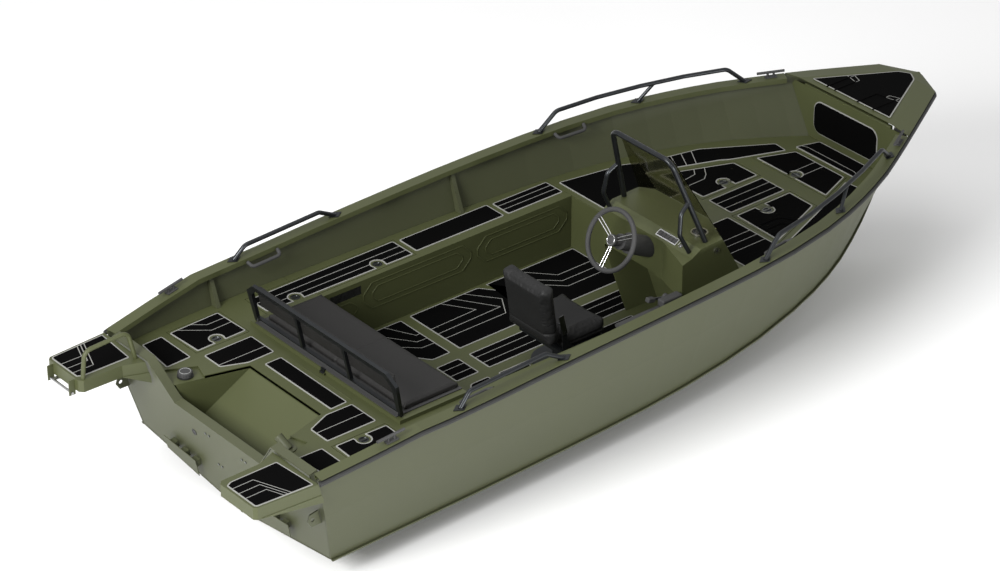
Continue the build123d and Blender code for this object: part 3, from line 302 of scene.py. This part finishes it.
@dataclass(frozen=True)
class Finish:
    """One surface finish, and the slot of the record that it belongs to."""

    name: str
    slot: str
    colour: tuple[float, float, float, float]
    texture: Texture
    roughness: float
    metal: float = 0.0
    shade: float = 0.12
    bump: float = 0.1
    coat: float = 0.0
    gloss: float = 0.5
    brushed_along: tuple[float, float, float] = (1.0, 1.0, 1.0)

    def grain(self) -> tuple[float, float]:
        """The scale of the fine relief and of the slow change in colour, in features per metre."""
        scales = {Texture.POWDER: (1400.0, 2.2), Texture.FOAM: (2600.0, 7.0), Texture.HIDE: (950.0, 9.0),
                  Texture.BRUSHED: (420.0, 6.0), Texture.MOULDED: (1500.0, 12.0), Texture.CLEAR: (40.0, 3.0)}
        return scales[self.texture]

    def make(self) -> Material:
        """Builds the material's nodes.

        Returns:
            The material, which is made once and then found again by its name.
        """
        known = bpy.data.materials.get(self.name)
        if known:
            return known
        material = bpy.data.materials.new(self.name)
        material.use_nodes = True
        nodes, link = material.node_tree.nodes, material.node_tree.links.new
        shader = nodes["Principled BSDF"]
        shader.inputs["Metallic"].default_value = self.metal
        shader.inputs["Coat Weight"].default_value = self.coat
        shader.inputs["Coat Roughness"].default_value = 0.25
        shader.inputs["Specular IOR Level"].default_value = self.gloss
        place = nodes.new("ShaderNodeTexCoord")
        turn = nodes.new("ShaderNodeMapping")
        turn.inputs["Scale"].default_value = self.brushed_along
        link(place.outputs["Object"], turn.inputs["Vector"])
        fine_scale, slow_scale = self.grain()
        slow = nodes.new("ShaderNodeTexNoise")
        slow.inputs["Scale"].default_value = slow_scale
        slow.inputs["Detail"].default_value = 6
        link(place.outputs["Object"], slow.inputs["Vector"])
        tint = nodes.new("ShaderNodeValToRGB")
        low = tuple(c * (1 - self.shade) for c in self.colour[:3])
        high = tuple(min(1.0, c * (1 + self.shade)) for c in self.colour[:3])
        tint.color_ramp.elements[0].position, tint.color_ramp.elements[0].color = 0.3, (*low, 1)
        tint.color_ramp.elements[1].position, tint.color_ramp.elements[1].color = 0.7, (*high, 1)
        link(slow.outputs["Fac"], tint.inputs["Fac"])
        link(tint.outputs["Color"], shader.inputs["Base Color"])
        if self.texture is Texture.HIDE:
            fine = nodes.new("ShaderNodeTexVoronoi")
            fine.feature = "SMOOTH_F1"
            relief = fine.outputs["Distance"]
        else:
            fine = nodes.new("ShaderNodeTexNoise")
            fine.inputs["Detail"].default_value = 3
            relief = fine.outputs["Fac"]
        fine.inputs["Scale"].default_value = fine_scale
        link(turn.outputs["Vector"], fine.inputs["Vector"])
        spread = nodes.new("ShaderNodeMapRange")
        spread.inputs["To Min"].default_value = max(0.02, self.roughness - 0.06)
        spread.inputs["To Max"].default_value = min(1.0, self.roughness + 0.06)
        link((relief if self.texture is Texture.BRUSHED else slow.outputs["Fac"]), spread.inputs["Value"])
        link(spread.outputs["Result"], shader.inputs["Roughness"])
        relief_node = nodes.new("ShaderNodeBump")
        relief_node.inputs["Strength"].default_value = self.bump
        relief_node.inputs["Distance"].default_value = 0.0006
        link(relief, relief_node.inputs["Height"])
        link(relief_node.outputs["Normal"], shader.inputs["Normal"])
        if self.texture is Texture.CLEAR:
            shader.inputs["Transmission Weight"].default_value = 1.0
            shader.inputs["IOR"].default_value = 1.1
        return material


HULL_PAINT = Finish("hull_paint", "painted_hull", linear(65, 68, 47), Texture.POWDER, 0.5, shade=0.03, bump=0.06,
                    gloss=0.4)
DECK_PAINT = Finish("deck_paint", "painted_deck", linear(66, 70, 42), Texture.POWDER, 0.5, shade=0.03, bump=0.07,
                    gloss=0.4)
FOAM_BLACK = Finish("foam_black", "foam", linear(3, 3, 3), Texture.FOAM, 0.95, shade=0.2, bump=0.35,
                    gloss=0.05)
FOAM_LINE = Finish("foam_line", "foam", linear(138, 138, 134), Texture.FOAM, 0.9, shade=0.05, bump=0.2,
                   gloss=0.2)
VINYL = Finish("black_vinyl", "vinyl", linear(26, 25, 24), Texture.HIDE, 0.6, shade=0.1, bump=0.25, gloss=0.35)
SEAT_VINYL = Finish("charcoal_vinyl", "vinyl", linear(22, 22, 22), Texture.HIDE, 0.6, shade=0.1, bump=0.25,
                    gloss=0.35)
RUBBER = Finish("black_rubber", "rubber", linear(20, 21, 20), Texture.MOULDED, 0.55, shade=0.15, bump=0.15)
ANODISED = Finish("dark_anodised", "anodised", linear(52, 54, 56), Texture.BRUSHED, 0.34, metal=0.85, shade=0.1,
                  bump=0.08, brushed_along=(1.0, 0.08, 1.0))
STAINLESS = Finish("polished_steel", "stainless", linear(196, 196, 196), Texture.BRUSHED, 0.2, metal=1.0, shade=0.05,
                   bump=0.04, brushed_along=(1.0, 0.08, 1.0))
DARK_STEEL = Finish("dark_steel", "stainless", linear(110, 112, 112), Texture.BRUSHED, 0.3, metal=1.0, shade=0.1,
                    bump=0.06, brushed_along=(1.0, 1.0, 0.1))
PLASTIC = Finish("black_plastic", "black_plastic", linear(22, 22, 23), Texture.MOULDED, 0.42, shade=0.12, bump=0.18)
GREY_RING = Finish("grey_print", "rubber", linear(140, 141, 139), Texture.MOULDED, 0.5, shade=0.06, bump=0.1)
GLASS = Finish("tinted_screen", "tinted", linear(168, 166, 140), Texture.CLEAR, 0.05, shade=0.03, bump=0.0)

NODE_FINISHES: dict[Finish, tuple[str, ...]] = {
    HULL_PAINT: ("bottom_plates", "side_plates", "keel_and_chine_rails", "transom", "transom_fittings", "hull_frames"),
    DECK_PAINT: ("aft_deck", "bow_deck", "foredeck", "gunwale_caps", "cockpit_floor", "side_lockers", "motor_well",
                 "console_shell", "swim_platforms", "hatch_aft_port", "hatch_aft_starboard", "hatch_bow_forward",
                 "hatch_bow_port", "hatch_bow_starboard", "hatch_locker_port", "bench_base"),
    RUBBER: ("rub_rails", "fuel_system"),
    PLASTIC: ("bench_seat_board", "control_box", "deck_hardware", "fuel_cap", "helm_unit", "rocker_switch_1",
              "rocker_switch_2", "rocker_switch_3", "rocker_switch_4", "rocker_switch_5", "throttle_lever"),
    ANODISED: ("bench_back_frame", "bench_latch", "grab_rails", "windshield_frame", "seat_frame", "seat_pedestal"),
    STAINLESS: ("boarding_ladder", "ignition_key", "switch_panel", "cup_holder"),
    DARK_STEEL: ("latch_aft_port", "latch_aft_starboard", "latch_bow_forward", "latch_bow_port",
                 "latch_bow_starboard", "latch_locker_aft", "latch_locker_fore", "seat_back_hinges"),
    GLASS: ("windshield_screen",),
}


def dress(obj: Object, *finishes: Finish) -> Object:
    """Gives an object its finishes in place of what it has."""
    obj.data.materials.clear()
    for finish in finishes:
        obj.data.materials.append(finish.make())
    return obj


def paint_frame() -> None:
    """Gives every node of the frame its finish."""
    for finish, names in NODE_FINISHES.items():
        for name in names:
            dress(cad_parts[name], finish)


def place(obj: Object, body: str, finish: Finish, *stands_for: str) -> Object:
    """Makes a finished piece ride on its body and hides what it stands for."""
    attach(obj, body)
    if stands_for:
        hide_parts(*stands_for)
    log.info("%s rides on %s", obj.name, body)
    return obj


# ------------------------------------------------------------------ foam deck pads
@dataclass
class DeckPad:
    """A foam tread pad with a pale border and pale grooves cut through its black skin."""

    outline: list[Point]
    up: float
    grooves: list[list[Point]] = field(default_factory=list)
    holes: list[Point] = field(default_factory=list)
    throat: Point = (0.0, 0.0)
    hole_radius: float = 38.0
    thickness: float = 3.5
    skin: float = 1.0
    border: float = 8.0
    groove: float = 5.5
    corner: float = 12.0

    def notch(self, grow: float, floor: float) -> Object:
        """A cutter for the keyhole notches round the latches.

        Args:
            grow: how much larger than the hole the notch is, in millimetres.
            floor: the height that it cuts down to.

        Returns:
            The cutter.
        """
        tools = []
        for x, y in self.holes:
            radius = self.hole_radius + grow
            tools.append(rod("cutter", spot(x, y, floor), spot(x, y, self.up + 12), radius / 1000, 48))
            if any(self.throat):
                way = Vector(self.throat)
                across = Vector((-way.y, way.x)) * (radius - 4)
                end = Vector((x, y)) + way * 90
                corners = [Vector((x, y)) + across, end + across, end - across, Vector((x, y)) - across]
                tools.append(plate("cutter", [spot(c.x, c.y, floor) for c in corners],
                                   Vector((0, 0, (self.up + 12 - floor) / 1000))))
        return join("cutters", tools)

    def build(self, name: str) -> Object:
        """Builds the pale backing, the black skin on it, and the grooves.

        Args:
            name: the pad's name.

        Returns:
            The pad, in two finishes.
        """
        backing = self.thickness - self.skin
        pad = plate(name, [spot(x, y, self.up) for x, y in self.outline], Vector((0, 0, backing / 1000)),
                    self.corner / 1000)
        top = spot(0, 0, self.up + backing).z
        for face in pad.data.polygons:
            face.select = face.center.z > top - 1e-5
        bpy.ops.object.mode_set(mode="EDIT")
        bpy.ops.mesh.select_mode(type="FACE")
        bpy.ops.mesh.inset(thickness=self.border / 1000)
        bpy.ops.mesh.extrude_region_move(TRANSFORM_OT_translate={"value": (0, 0, self.skin / 1000)})
        finish_edit(pad)
        if self.holes:
            cut(pad, self.notch(0.0, self.up - 2))
            cut(pad, self.notch(self.border, self.up + backing))
        if self.grooves:
            tools = [plate("cutter", [spot(x, y, self.up + backing + 0.1) for x, y in ribbon(run, self.groove)],
                           Vector((0, 0, 0.006))) for run in self.grooves]
            cut(pad, join("cutters", tools))
        dress(pad, FOAM_LINE, FOAM_BLACK)
        split = spot(0, 0, self.up + backing + 0.3).z
        for face in pad.data.polygons:
            face.material_index = 1 if face.center.z > split else 0
        return pad


def lines_along(y_values: list[float], x_from: float, x_to: float) -> list[list[Point]]:
    """Straight grooves fore and aft."""
    return [[(x_from, y), (x_to, y)] for y in y_values]


@dataclass
class FoamDeck:
    """All the tread pads of the boat."""

    hatch_pads: dict[str, tuple[str, list[Point], list[Point], Point, list[list[Point]]]] = field(
        default_factory=lambda: {
            "aft_port": ("lid_aft_port", [(170, 839), (493, 851), (503, 604), (182, 595)], [(333, 637)], (0, -1),
                         [[(200, 852), (360, 721), (520, 726)], [(300, 845), (375, 782), (520, 785)]]),
            "locker_port": ("lid_locker_port", [(700, 853), (1688, 860), (1690, 676), (915, 682), (704, 690)],
                            [(912, 718), (1471, 718)], (0, -1), lines_along([735, 792], 690, 1700)),
            "bow_port": ("lid_bow_port", [(3349, 138), (3763, 132), (3759, 329), (3337, 495)], [(3560, 198)],
                         (0, -1), [[(3550, 445), (3492, 366), (3395, 353), (3330, 353)],
                                   [(3612, 425), (3541, 326), (3498, 292), (3330, 288)]]),
            "bow_forward": ("lid_bow_forward", [(3898, -290), (4128, -200), (4128, 200), (3898, 290)], [(3938, 0)],
                            (-1, 0), lines_along([-34, 34], 3960, 4140)),
            "bow_starboard": ("lid_bow_starboard", [(3349, -138), (3763, -132), (3759, -329), (3337, -495)],
                              [(3530, -198)], (0, 1), [[(3330, -307), (3514, -312), (3600, -445)],
                                                       [(3330, -367), (3482, -370), (3530, -450)],
                                                       [(3330, -430), (3450, -432), (3490, -470)]]),
        })

    def floor_pads(self) -> list[DeckPad]:
        """The pads on the cockpit floor."""
        aft = [(1534, 160), (1534, 598), (1340, 598), (1340, 250), (1410, 160)]
        chevrons = [[(1400, 620), (1500, 420), (1545, 424)], [(1350, 520), (1462, 362), (1545, 358)],
                    [(1330, 400), (1441, 298), (1545, 292)]]
        main_aft = [(1597, 160), (2010, 160), (2200, 455), (2083, 604), (1597, 604)]
        main_fore = [(2138, 604), (2250, 455), (2100, 160), (2783, 160), (2783, 604)]
        far = [[(2350, 620), (2522, 427), (2800, 428)], [(2330, 520), (2499, 361), (2800, 362)],
               [(2300, 480), (2487, 297), (2800, 300)]]
        near = [[(1800, 620), (1926, 425), (1590, 417)], [(1885, 620), (2050, 363), (1590, 354)],
                [(1965, 620), (2112, 425), (2030, 292), (1590, 292)]]
        return [
            DeckPad(main_aft, FLOOR_TOP, near),
            DeckPad(main_fore, FLOOR_TOP, far),
            DeckPad([(1597, -94), (2783, -94), (2783, 86), (1597, 86)], FLOOR_TOP, lines_along([-34, 32], 1590, 2800)),
            DeckPad([(1370, -94), (1528, -94), (1528, 86), (1370, 86)], FLOOR_TOP, lines_along([-34, 30], 1360, 1540)),
            DeckPad(aft, FLOOR_TOP, chevrons),
            DeckPad(to_starboard(aft), FLOOR_TOP, [to_starboard(run) for run in chevrons]),
            DeckPad([(1597, -604), (2550, -604), (2550, -165), (1597, -165)], FLOOR_TOP,
                    [[(1800, -620), (1926, -425), (1590, -417)], [(1885, -620), (2030, -363), (1590, -354)]],
                    [(1948, -271)], hole_radius=172),
        ]

    def fixed(self) -> list[DeckPad]:
        """The pads on the fixed decks and the platforms."""
        aft_side = [(178, 391), (322, 330), (490, 334), (490, 540), (178, 537)]
        corner = [(-40, 563), (120, 569), (120, 838), (-12, 833)]
        platform = [(-214, 642), (-498, 642), (-532, 660), (-532, 890), (-520, 902), (-195, 922)]
        bow_port = [(3000, 250), (3290, 250), (3290, 560), (3720, 400), (3760, 372), (4095, 245), (4105, 345),
                    (3715, 582), (3385, 655), (3250, 720), (2830, 790), (2830, 400)]
        bow_starboard = [(3300, -560), (3720, -400), (4095, -245), (4105, -345), (3715, -582), (3385, -655),
                         (3250, -720), (3000, -755), (3000, -120), (3300, -120)]
        cross = [[(3572 + 61 * i, 700 - 30 * i), (3400 + 61 * i, 350)] for i in range(3)]
        pads = [
            DeckPad([(3347, -96), (3762, -96), (3762, 92), (3347, 92)], DECK_TOP, lines_along([-36, 29], 3340, 3780)),
            DeckPad([(4165, -245), (4318, -200), (4318, 200), (4165, 245)], DECK_TOP,
                    [[(4190, -260), (4215, -190), (4215, 190), (4190, 260)]]),
            DeckPad([(374, -308), (484, -304), (484, 268), (374, 268)], DECK_TOP),
            DeckPad([(1722, 690), (2350, 690), (2350, 850), (1722, 850)], DECK_TOP),
            DeckPad([(2380, 690), (2780, 690), (2780, 840), (2380, 840)], DECK_TOP,
                    lines_along([745, 793], 2370, 2790)),
            DeckPad([(1030, -850), (1700, -850), (1700, -676), (1030, -676)], DECK_TOP,
                    lines_along([-735, -792], 1020, 1710)),
            DeckPad([(1722, -850), (2010, -850), (2010, -690), (1722, -690)], DECK_TOP),
            DeckPad(bow_port, DECK_TOP, cross),
            DeckPad(bow_starboard, DECK_TOP, [[(2990, -307), (3310, -307)], [(2990, -366), (3310, -366)],
                                              [(2990, -432), (3310, -432)]]),
            DeckPad([(4350, 318), (4350, -318), (4798, -68), (4838, 0), (4798, 68)], 972.5,
                    [[(4340, 62 * i * s), (4450 + 45 * i, 62 * i * s), (4500 + 60 * i, 340 * s)]
                     for i in (1, 2, 3) for s in (1, -1)]),
            DeckPad(aft_side, DECK_TOP, [[(160, 409), (510, 409)]]),
            DeckPad(to_starboard(aft_side), DECK_TOP, [[(160, -441), (510, -441)]]),
            DeckPad(corner, DECK_TOP), DeckPad(to_starboard(corner), DECK_TOP),
        ]
        run = [(-560, 700), (-400, 700), (-300, 960)]
        slanted = [[(x, y + 55 * i) for x, y in run] for i in range(3)]
        pads += [DeckPad(platform, PLATFORM_TOP, slanted, corner=7),
                 DeckPad(to_starboard(platform), PLATFORM_TOP, [to_starboard(line) for line in slanted], corner=7)]
        return pads

    def bulkhead(self) -> Object:
        """The padded panel on the bow bulkhead."""
        half, low, high, face = 260, 665, 875, 4322
        corners = [spot(face, -half, low), spot(face, half, low), spot(face, half, high), spot(face, -half, high)]
        panel = plate("bulkhead_panel", corners, Vector((-0.003, 0, 0)), 0.06, 8)
        front = spot(face - 3, 0, 0).x
        for item in panel.data.polygons:
            item.select = item.center.x < front + 1e-4
        bpy.ops.object.mode_set(mode="EDIT")
        bpy.ops.mesh.select_mode(type="FACE")
        bpy.ops.mesh.inset(thickness=0.007)
        bpy.ops.mesh.extrude_region_move(TRANSFORM_OT_translate={"value": (-0.004, 0, 0)})
        bpy.ops.mesh.inset(thickness=0.004)
        finish_edit(panel)
        dress(panel, FOAM_LINE, FOAM_BLACK)
        for item in panel.data.polygons:
            item.material_index = 1 if item.center.x < front - 0.001 else 0
        return panel

    def build(self) -> None:
        """Builds the fixed pads as one piece and one pad for each lid."""
        made = [pad.build("pad") for pad in self.floor_pads() + self.fixed()] + [self.bulkhead()]
        place(join("deck_tread_pads", made), "hull", FOAM_BLACK, "foam_pads")
        for key, (body, outline, latches, throat, grooves) in self.hatch_pads.items():
            pad = DeckPad(outline, DECK_TOP, grooves, latches, throat)
            place(pad.build(f"tread_pad_{key}"), body, FOAM_BLACK)
            if key == "aft_port":
                twin = DeckPad(to_starboard(outline), DECK_TOP, [to_starboard(run) for run in grooves],
                               to_starboard(latches), (throat[0], -throat[1]))
                place(twin.build("tread_pad_aft_starboard"), "lid_aft_starboard", FOAM_BLACK)


# ------------------------------------------------------------------ pressed and fitted details of the hull
@dataclass
class HullDetails:
    """Pressings, beads, bolts and small fittings that ride on the hull."""

    wall: float = 628.0

    def pressing(self, side: int, x0: float, x1: float, z0: float, z1: float, clip: float, band: float) -> Object:
        """A raised stretched-octagon bead on a locker's wall.

        Args:
            side: 1 for the port wall, -1 for the starboard one.
            x0, x1: its ends.
            z0, z1: its bottom and top.
            clip: the length of its cut corners along the wall.
            band: the width of the bead.

        Returns:
            The closed bead.
        """
        drop = (z1 - z0) * 0.36
        loop = [(x0 + clip, z0), (x1 - clip, z0), (x1, z0 + drop), (x1, z1 - drop), (x1 - clip, z1),
                (x0 + clip, z1), (x0, z1 - drop), (x0, z0 + drop)]
        face = side * (self.wall + 0.5)
        bead = plate("pressing", [spot(x, face, z) for x, z in loop], Vector((0, -side * 0.003, 0)), 0.008, 3)
        middle = Vector(((x0 + x1) / 2, (z0 + z1) / 2))
        inner = []
        for x, z in loop:
            away = Vector((x, z)) - middle
            inner.append((x - math.copysign(band, away.x), z - math.copysign(band, away.y)))
        tool = plate("cutter", [spot(x, side * (self.wall + 6), z) for x, z in inner], Vector((0, -side * 0.014, 0)),
                     0.006, 3)
        return round_edges(cut(bead, tool), 0.0011, 2)

    def locker_walls(self) -> None:
        """The pressed panels on both locker walls."""
        beads = []
        for side in (1, -1):
            beads.append(self.pressing(side, 1300, 2060, 416, 584, 60, 6))
            beads.append(self.pressing(side, 1360, 2000, 448, 552, 40, 5))
            beads.append(self.pressing(side, 2100, 2760, 416, 584, 60, 6))
            beads.append(self.pressing(side, 2160, 2700, 448, 552, 40, 5))
            beads.append(self.pressing(side, 1010, 1262, 400, 515, 50, 6))
        place(smooth(dress(join("locker_wall_pressings", beads), DECK_PAINT)), "hull", DECK_PAINT)

    def net(self) -> None:
        """The elastic net over the rod opening in the port locker."""
        x0, x1, z0, z1, y = 1078, 1287, 538, 587, self.wall + 1.5
        cords = [wire("cord", [spot(x0, y, z0 + 7 * i), spot((x0 + x1) / 2, y + 1, z0 + 7 * i - 1.5),
                               spot(x1, y, z0 + 7 * i)], 0.0011) for i in range(8)]
        cords += [rod("cord", spot(x0 + 11 * i, y, z0), spot(x0 + 11 * i, y, z1), 0.0011, 8) for i in range(20)]
        place(smooth(dress(join("rod_locker_net", cords), RUBBER), 60), "hull", RUBBER)

    def transom_marks(self) -> None:
        """Bolt heads and a drain on the transom."""
        back = Vector((-1, 0, -RAKE)).normalized()
        bolts = []
        for y, z in ((121, 450), (-199, 449), (75, 266), (-75, 266)):
            for dy in (-16, 16):
                foot = spot(-RAKE * z, y + dy, z)
                bolts.append(rod("bolt", foot - back * 0.002, foot + back * 0.004, 0.007, 6, 0.0008))
        place(smooth(dress(join("transom_bolts", bolts), DARK_STEEL)), "hull", DARK_STEEL)
        foot = spot(-RAKE * 394, 258, 394)
        drain = rod("transom_drain", foot - back * 0.002, foot + back * 0.002, 0.019, 32, 0.0008)
        tool = rod("cutter", foot + back * 0.0005, foot + back * 0.01, 0.014, 32)
        place(smooth(dress(cut(drain, tool), PLASTIC)), "hull", PLASTIC)

    def deck_bead(self) -> None:
        """The bead pressed across the aft deck."""
        bead = block("aft_deck_bead", spot(511, -300, DECK_TOP - 1), spot(519, 255, DECK_TOP + 2), 0.0012)
        place(smooth(dress(bead, DECK_PAINT)), "hull", DECK_PAINT)

    def bow_beam(self) -> None:
        """The beam that carries the aft edge of the foredeck."""
        beam = block("foredeck_beam", spot(4324, -350, 905), spot(4344, 350, 940), 0.002)
        place(smooth(dress(beam, DECK_PAINT)), "hull", DECK_PAINT)

    def cap_print(self) -> None:
        """The grey ring on top of the filler cap."""
        _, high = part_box("fuel_cap")
        middle = spot(0, 452, 0)
        centre = Vector((middle.x, middle.y, high.z))
        trim = ring("filler_cap_ring", centre, Vector((0, 0, 1)), 0.029, 0.0016, 48)
        place(smooth(dress(trim, GREY_RING), 60), "filler_cap", GREY_RING)

    def build(self) -> None:
        """Builds all of the details."""
        self.locker_walls()
        self.net()
        self.transom_marks()
        self.deck_bead()
        self.bow_beam()
        self.cap_print()


# ------------------------------------------------------------------ cushions
@dataclass
class Cushion:
    """A stuffed cushion: a rounded block, swollen as cloth under pressure, then sewn."""

    name: str
    node: str
    body: str
    low: tuple[float, float, float]
    high: tuple[float, float, float]
    finish: Finish
    soften: float = 12.0
    voxel: float = 5.0
    cap: float = 7.0
    fill: float = 0.8
    pressure: float = 4.0
    lean: float = 0.0
    pivot: tuple[float, float, float] = (0.0, 0.0, 0.0)
    seams: list[tuple[int, float]] = field(default_factory=list)
    seam_depth: float = 4.0
    refine: bool = True

    def shell(self) -> Object:
        """The rounded block that the cushion starts from, on an even mesh."""
        body = block(self.name, spot(*self.low), spot(*self.high), self.soften / 1000, 4)
        pick_up(body)
        body.data.remesh_voxel_size = self.voxel / 1000
        bpy.ops.object.voxel_remesh()
        return body

    def swell(self, body: Object) -> None:
        """Inflates the cover, and limits how far any point moves."""
        start = [vertex.co.copy() for vertex in body.data.vertices]
        pick_up(body)
        cloth = body.modifiers.new("stuffing", "CLOTH")
        cloth.settings.use_pressure = True
        cloth.settings.uniform_pressure_force = self.pressure
        cloth.settings.quality = 2
        cloth.settings.effector_weights.gravity = 0
        seat = body.vertex_groups.new(name="seat")
        floor = spot(*self.low).z + 0.004
        seat.add([i for i, was in enumerate(start) if was.z < floor], 1.0, "REPLACE")
        cloth.settings.vertex_group_mass = "seat"
        for number in range(1, SETTLE_FRAMES + 1):
            bpy.context.scene.frame_set(number)
        bpy.ops.object.modifier_apply(modifier=cloth.name)
        for vertex, was in zip(body.data.vertices, start):
            move = vertex.co - was
            if move.length > self.cap / 1000:
                vertex.co = was + move.normalized() * (self.cap / 1000)
        body.vertex_groups.clear()
        bpy.context.scene.frame_set(1)

    def sew(self, body: Object) -> None:
        """Draws the cover in along the sewn channels."""
        width = SEAM_WIDTH
        for vertex in body.data.vertices:
            pull = sum(math.exp(-((vertex.co[axis] - spot(*(value,) * 3)[axis]) / width) ** 2)
                       for axis, value in self.seams)
            if pull > 0.01:
                vertex.co -= vertex.normal * pull * self.seam_depth / 1000

    def build(self) -> Object:
        """Returns:
            The finished cushion.
        """
        body = self.shell()
        self.swell(body)
        if self.refine:
            pick_up(body)
            level = body.modifiers.new("fine", "SUBSURF")
            level.levels = level.render_levels = 1
            bpy.ops.object.modifier_apply(modifier=level.name)
        self.sew(body)
        if self.lean:
            centre = spot(*self.pivot)
            body.data.transform(Matrix.Translation(centre) @ Matrix.Rotation(self.lean, 4, "Y")
                                @ Matrix.Translation(-centre))
        dress(body, self.finish)
        smooth(body, 60)
        place(body, self.body, self.finish, self.node)
        return body


@dataclass
class SternBench:
    """The bench across the stern: a low seat cushion and a back frame with a pad behind bars."""

    def build(self) -> None:
        """Builds the cushions of the bench."""
        Cushion("bench_seat_cushion", "bench_cushion", "bench_seat", (634, -590, 647), (992, 590, 672), VINYL, 10,
                6.0, 5.0, seams=[(1, 0.0)], refine=False).build()
        lean = math.atan2(-51, 251)
        Cushion("bench_back_pad", "bench_back_cushion", "bench_back", (599, -580, 752), (630, 580, 876), VINYL, 10,
                5.0, 5.0, lean=lean, pivot=(587, 0, 656), seams=[(1, -196.0), (1, 196.0)], refine=False).build()


@dataclass
class HelmSeat:
    """The helm seat: a domed cushion and a tall boxy back."""

    def build(self) -> None:
        """Builds the two cushions."""
        Cushion("helm_seat_cushion", "seat_cushion", "helm_seat", (1828, -448, 474), (2114, -94, 572), SEAT_VINYL, 22,
                5.0, 9.0, seams=[(2, 512.0)]).build()
        lean = math.radians(-8.3)
        Cushion("helm_back_cushion", "seat_back_cushion", "helm_seat_back", (1726, -448, 530), (1806, -94, 894),
                SEAT_VINYL, 24, 5.0, 8.0, lean=lean, pivot=(1767, 0, 530), seams=[(2, 610.0)]).build()


# ------------------------------------------------------------------ steering wheel
@dataclass
class SteeringWheel:
    """A wheel with a thick grip, three pairs of bright spokes and a ringed hub."""

    centre: tuple[float, float, float] = (2295.0, -276.0, 906.0)
    radius: float = 168.0
    grip: float = 14.0
    tilt: float = 27.0

    def frame(self) -> tuple[Vector, Vector, Vector, Vector]:
        """The wheel's centre, its axis towards the helm, its way to port and its way up."""
        lean = math.radians(self.tilt)
        axis = Vector((-math.cos(lean), 0, math.sin(lean)))
        port = Vector((0, 1, 0))
        return spot(*self.centre), axis, port, port.cross(axis) * -1

    def at(self, angle: float, reach: float, out: float = 0.0) -> Vector:
        """A place on the wheel, by its angle in degrees, its reach and its height along the axis in millimetres."""
        centre, axis, port, rise = self.frame()
        turn = math.radians(angle)
        return centre + (port * math.cos(turn) + rise * math.sin(turn)) * reach / 1000 + axis * out / 1000

    def build(self) -> None:
        """Builds the rim, the spokes and the hub."""
        centre, axis, _, _ = self.frame()
        grip = ring("wheel_rim", centre, axis, self.radius / 1000, self.grip / 1000, 96)
        place(smooth(dress(grip, PLASTIC), 60), "wheel", PLASTIC, "steering_wheel")
        bars = []
        for angle in (90, 210, 330):
            for side in (-1, 1):
                points = [self.at(angle + side * 14, 30, -14), self.at(angle + side * 8, 70, -12),
                          self.at(angle + side * 4.5, 120, -5), self.at(angle + side * 3.5, self.radius - 4)]
                bars.append(wire("spoke", points, 0.0042))
        place(smooth(dress(join("wheel_spokes", bars), STAINLESS), 60), "wheel", STAINLESS)
        hub = rod("wheel_hub", self.at(0, 0, -26), self.at(0, 0, 2), 0.033, 48, 0.004)
        place(smooth(dress(hub, PLASTIC)), "wheel", PLASTIC)
        trim = ring("wheel_hub_ring", centre + axis * 0.002, axis, 0.027, 0.0022, 48)
        place(smooth(dress(trim, STAINLESS), 60), "wheel", STAINLESS)


# ------------------------------------------------------------------ the studio
@dataclass
class Studio:
    """The floor, the lights and the camera."""

    camera_at: tuple[float, float, float] = (-11.156, -13.058, 10.637)
    lens: float = 131.4

    def floor(self) -> None:
        """A plain pale floor under the keel."""
        put_down()
        bpy.ops.mesh.primitive_plane_add(size=80, location=(0, 0, -0.002))
        floor = bpy.context.object
        floor.name = "studio_floor"
        freeze(floor)
        paint = bpy.data.materials.new("studio_floor")
        paint.use_nodes = True
        shader = paint.node_tree.nodes["Principled BSDF"]
        shader.inputs["Base Color"].default_value = (0.92, 0.92, 0.92, 1)
        shader.inputs["Roughness"].default_value = 0.9
        floor.data.materials.append(paint)

    def lamp(self, name: str, at: tuple[float, float, float], size: float, power: float) -> None:
        """One soft area light that looks at the middle of the boat."""
        put_down()
        bpy.ops.object.light_add(type="AREA", location=at)
        lamp = bpy.context.object
        lamp.name = name
        lamp.data.size = size
        lamp.data.energy = power
        lamp.rotation_euler = (Vector((0, 0, 0.5)) - Vector(at)).to_track_quat("-Z", "Y").to_euler()

    def build(self) -> None:
        """Builds the studio."""
        self.floor()
        self.lamp("key_light", (-11.0, -2.5, 7.0), 5.0, 1900)
        self.lamp("fill_light", (-1.0, -12.0, 0.9), 1.6, 900)
        self.lamp("top_light", (-1.0, 1.0, 9.0), 7.0, 250)
        world = bpy.data.worlds.new("studio")
        bpy.context.scene.world = world
        world.use_nodes = True
        world.node_tree.nodes["Background"].inputs["Color"].default_value = (1, 1, 1, 1)
        world.node_tree.nodes["Background"].inputs["Strength"].default_value = 0.62
        eye = bpy.data.cameras.new("camera")
        eye.lens, eye.sensor_width, eye.clip_end = self.lens, 36.0, 200.0
        camera = bpy.data.objects.new("camera", eye)
        right, rise, back = Vector((0.771951, -0.63568, -0.001204)), Vector((0.322574, 0.39009, 0.862424)), \
            Vector((-0.547757, -0.666138, 0.506184))
        turn = Matrix((right, rise, back)).transposed().to_4x4()
        camera.matrix_world = Matrix.Translation(Vector(self.camera_at)) @ turn
        bpy.context.scene.collection.objects.link(camera)
        bpy.context.scene.camera = camera
        bpy.context.scene.view_settings.view_transform = "Standard"


def main() -> None:
    """Builds the boat's pieces in order around the frame."""
    logging.basicConfig(level=logging.INFO, format="%(message)s")
    bpy.context.scene.tool_settings.mesh_select_mode = (False, False, True)
    Studio().build()
    paint_frame()
    for group in (FoamDeck(), HullDetails(), SternBench(), HelmSeat(), SteeringWheel()):
        log.info("building %s", type(group).__name__)
        group.build()
    put_down()


if __name__ == "__main__":
    main()
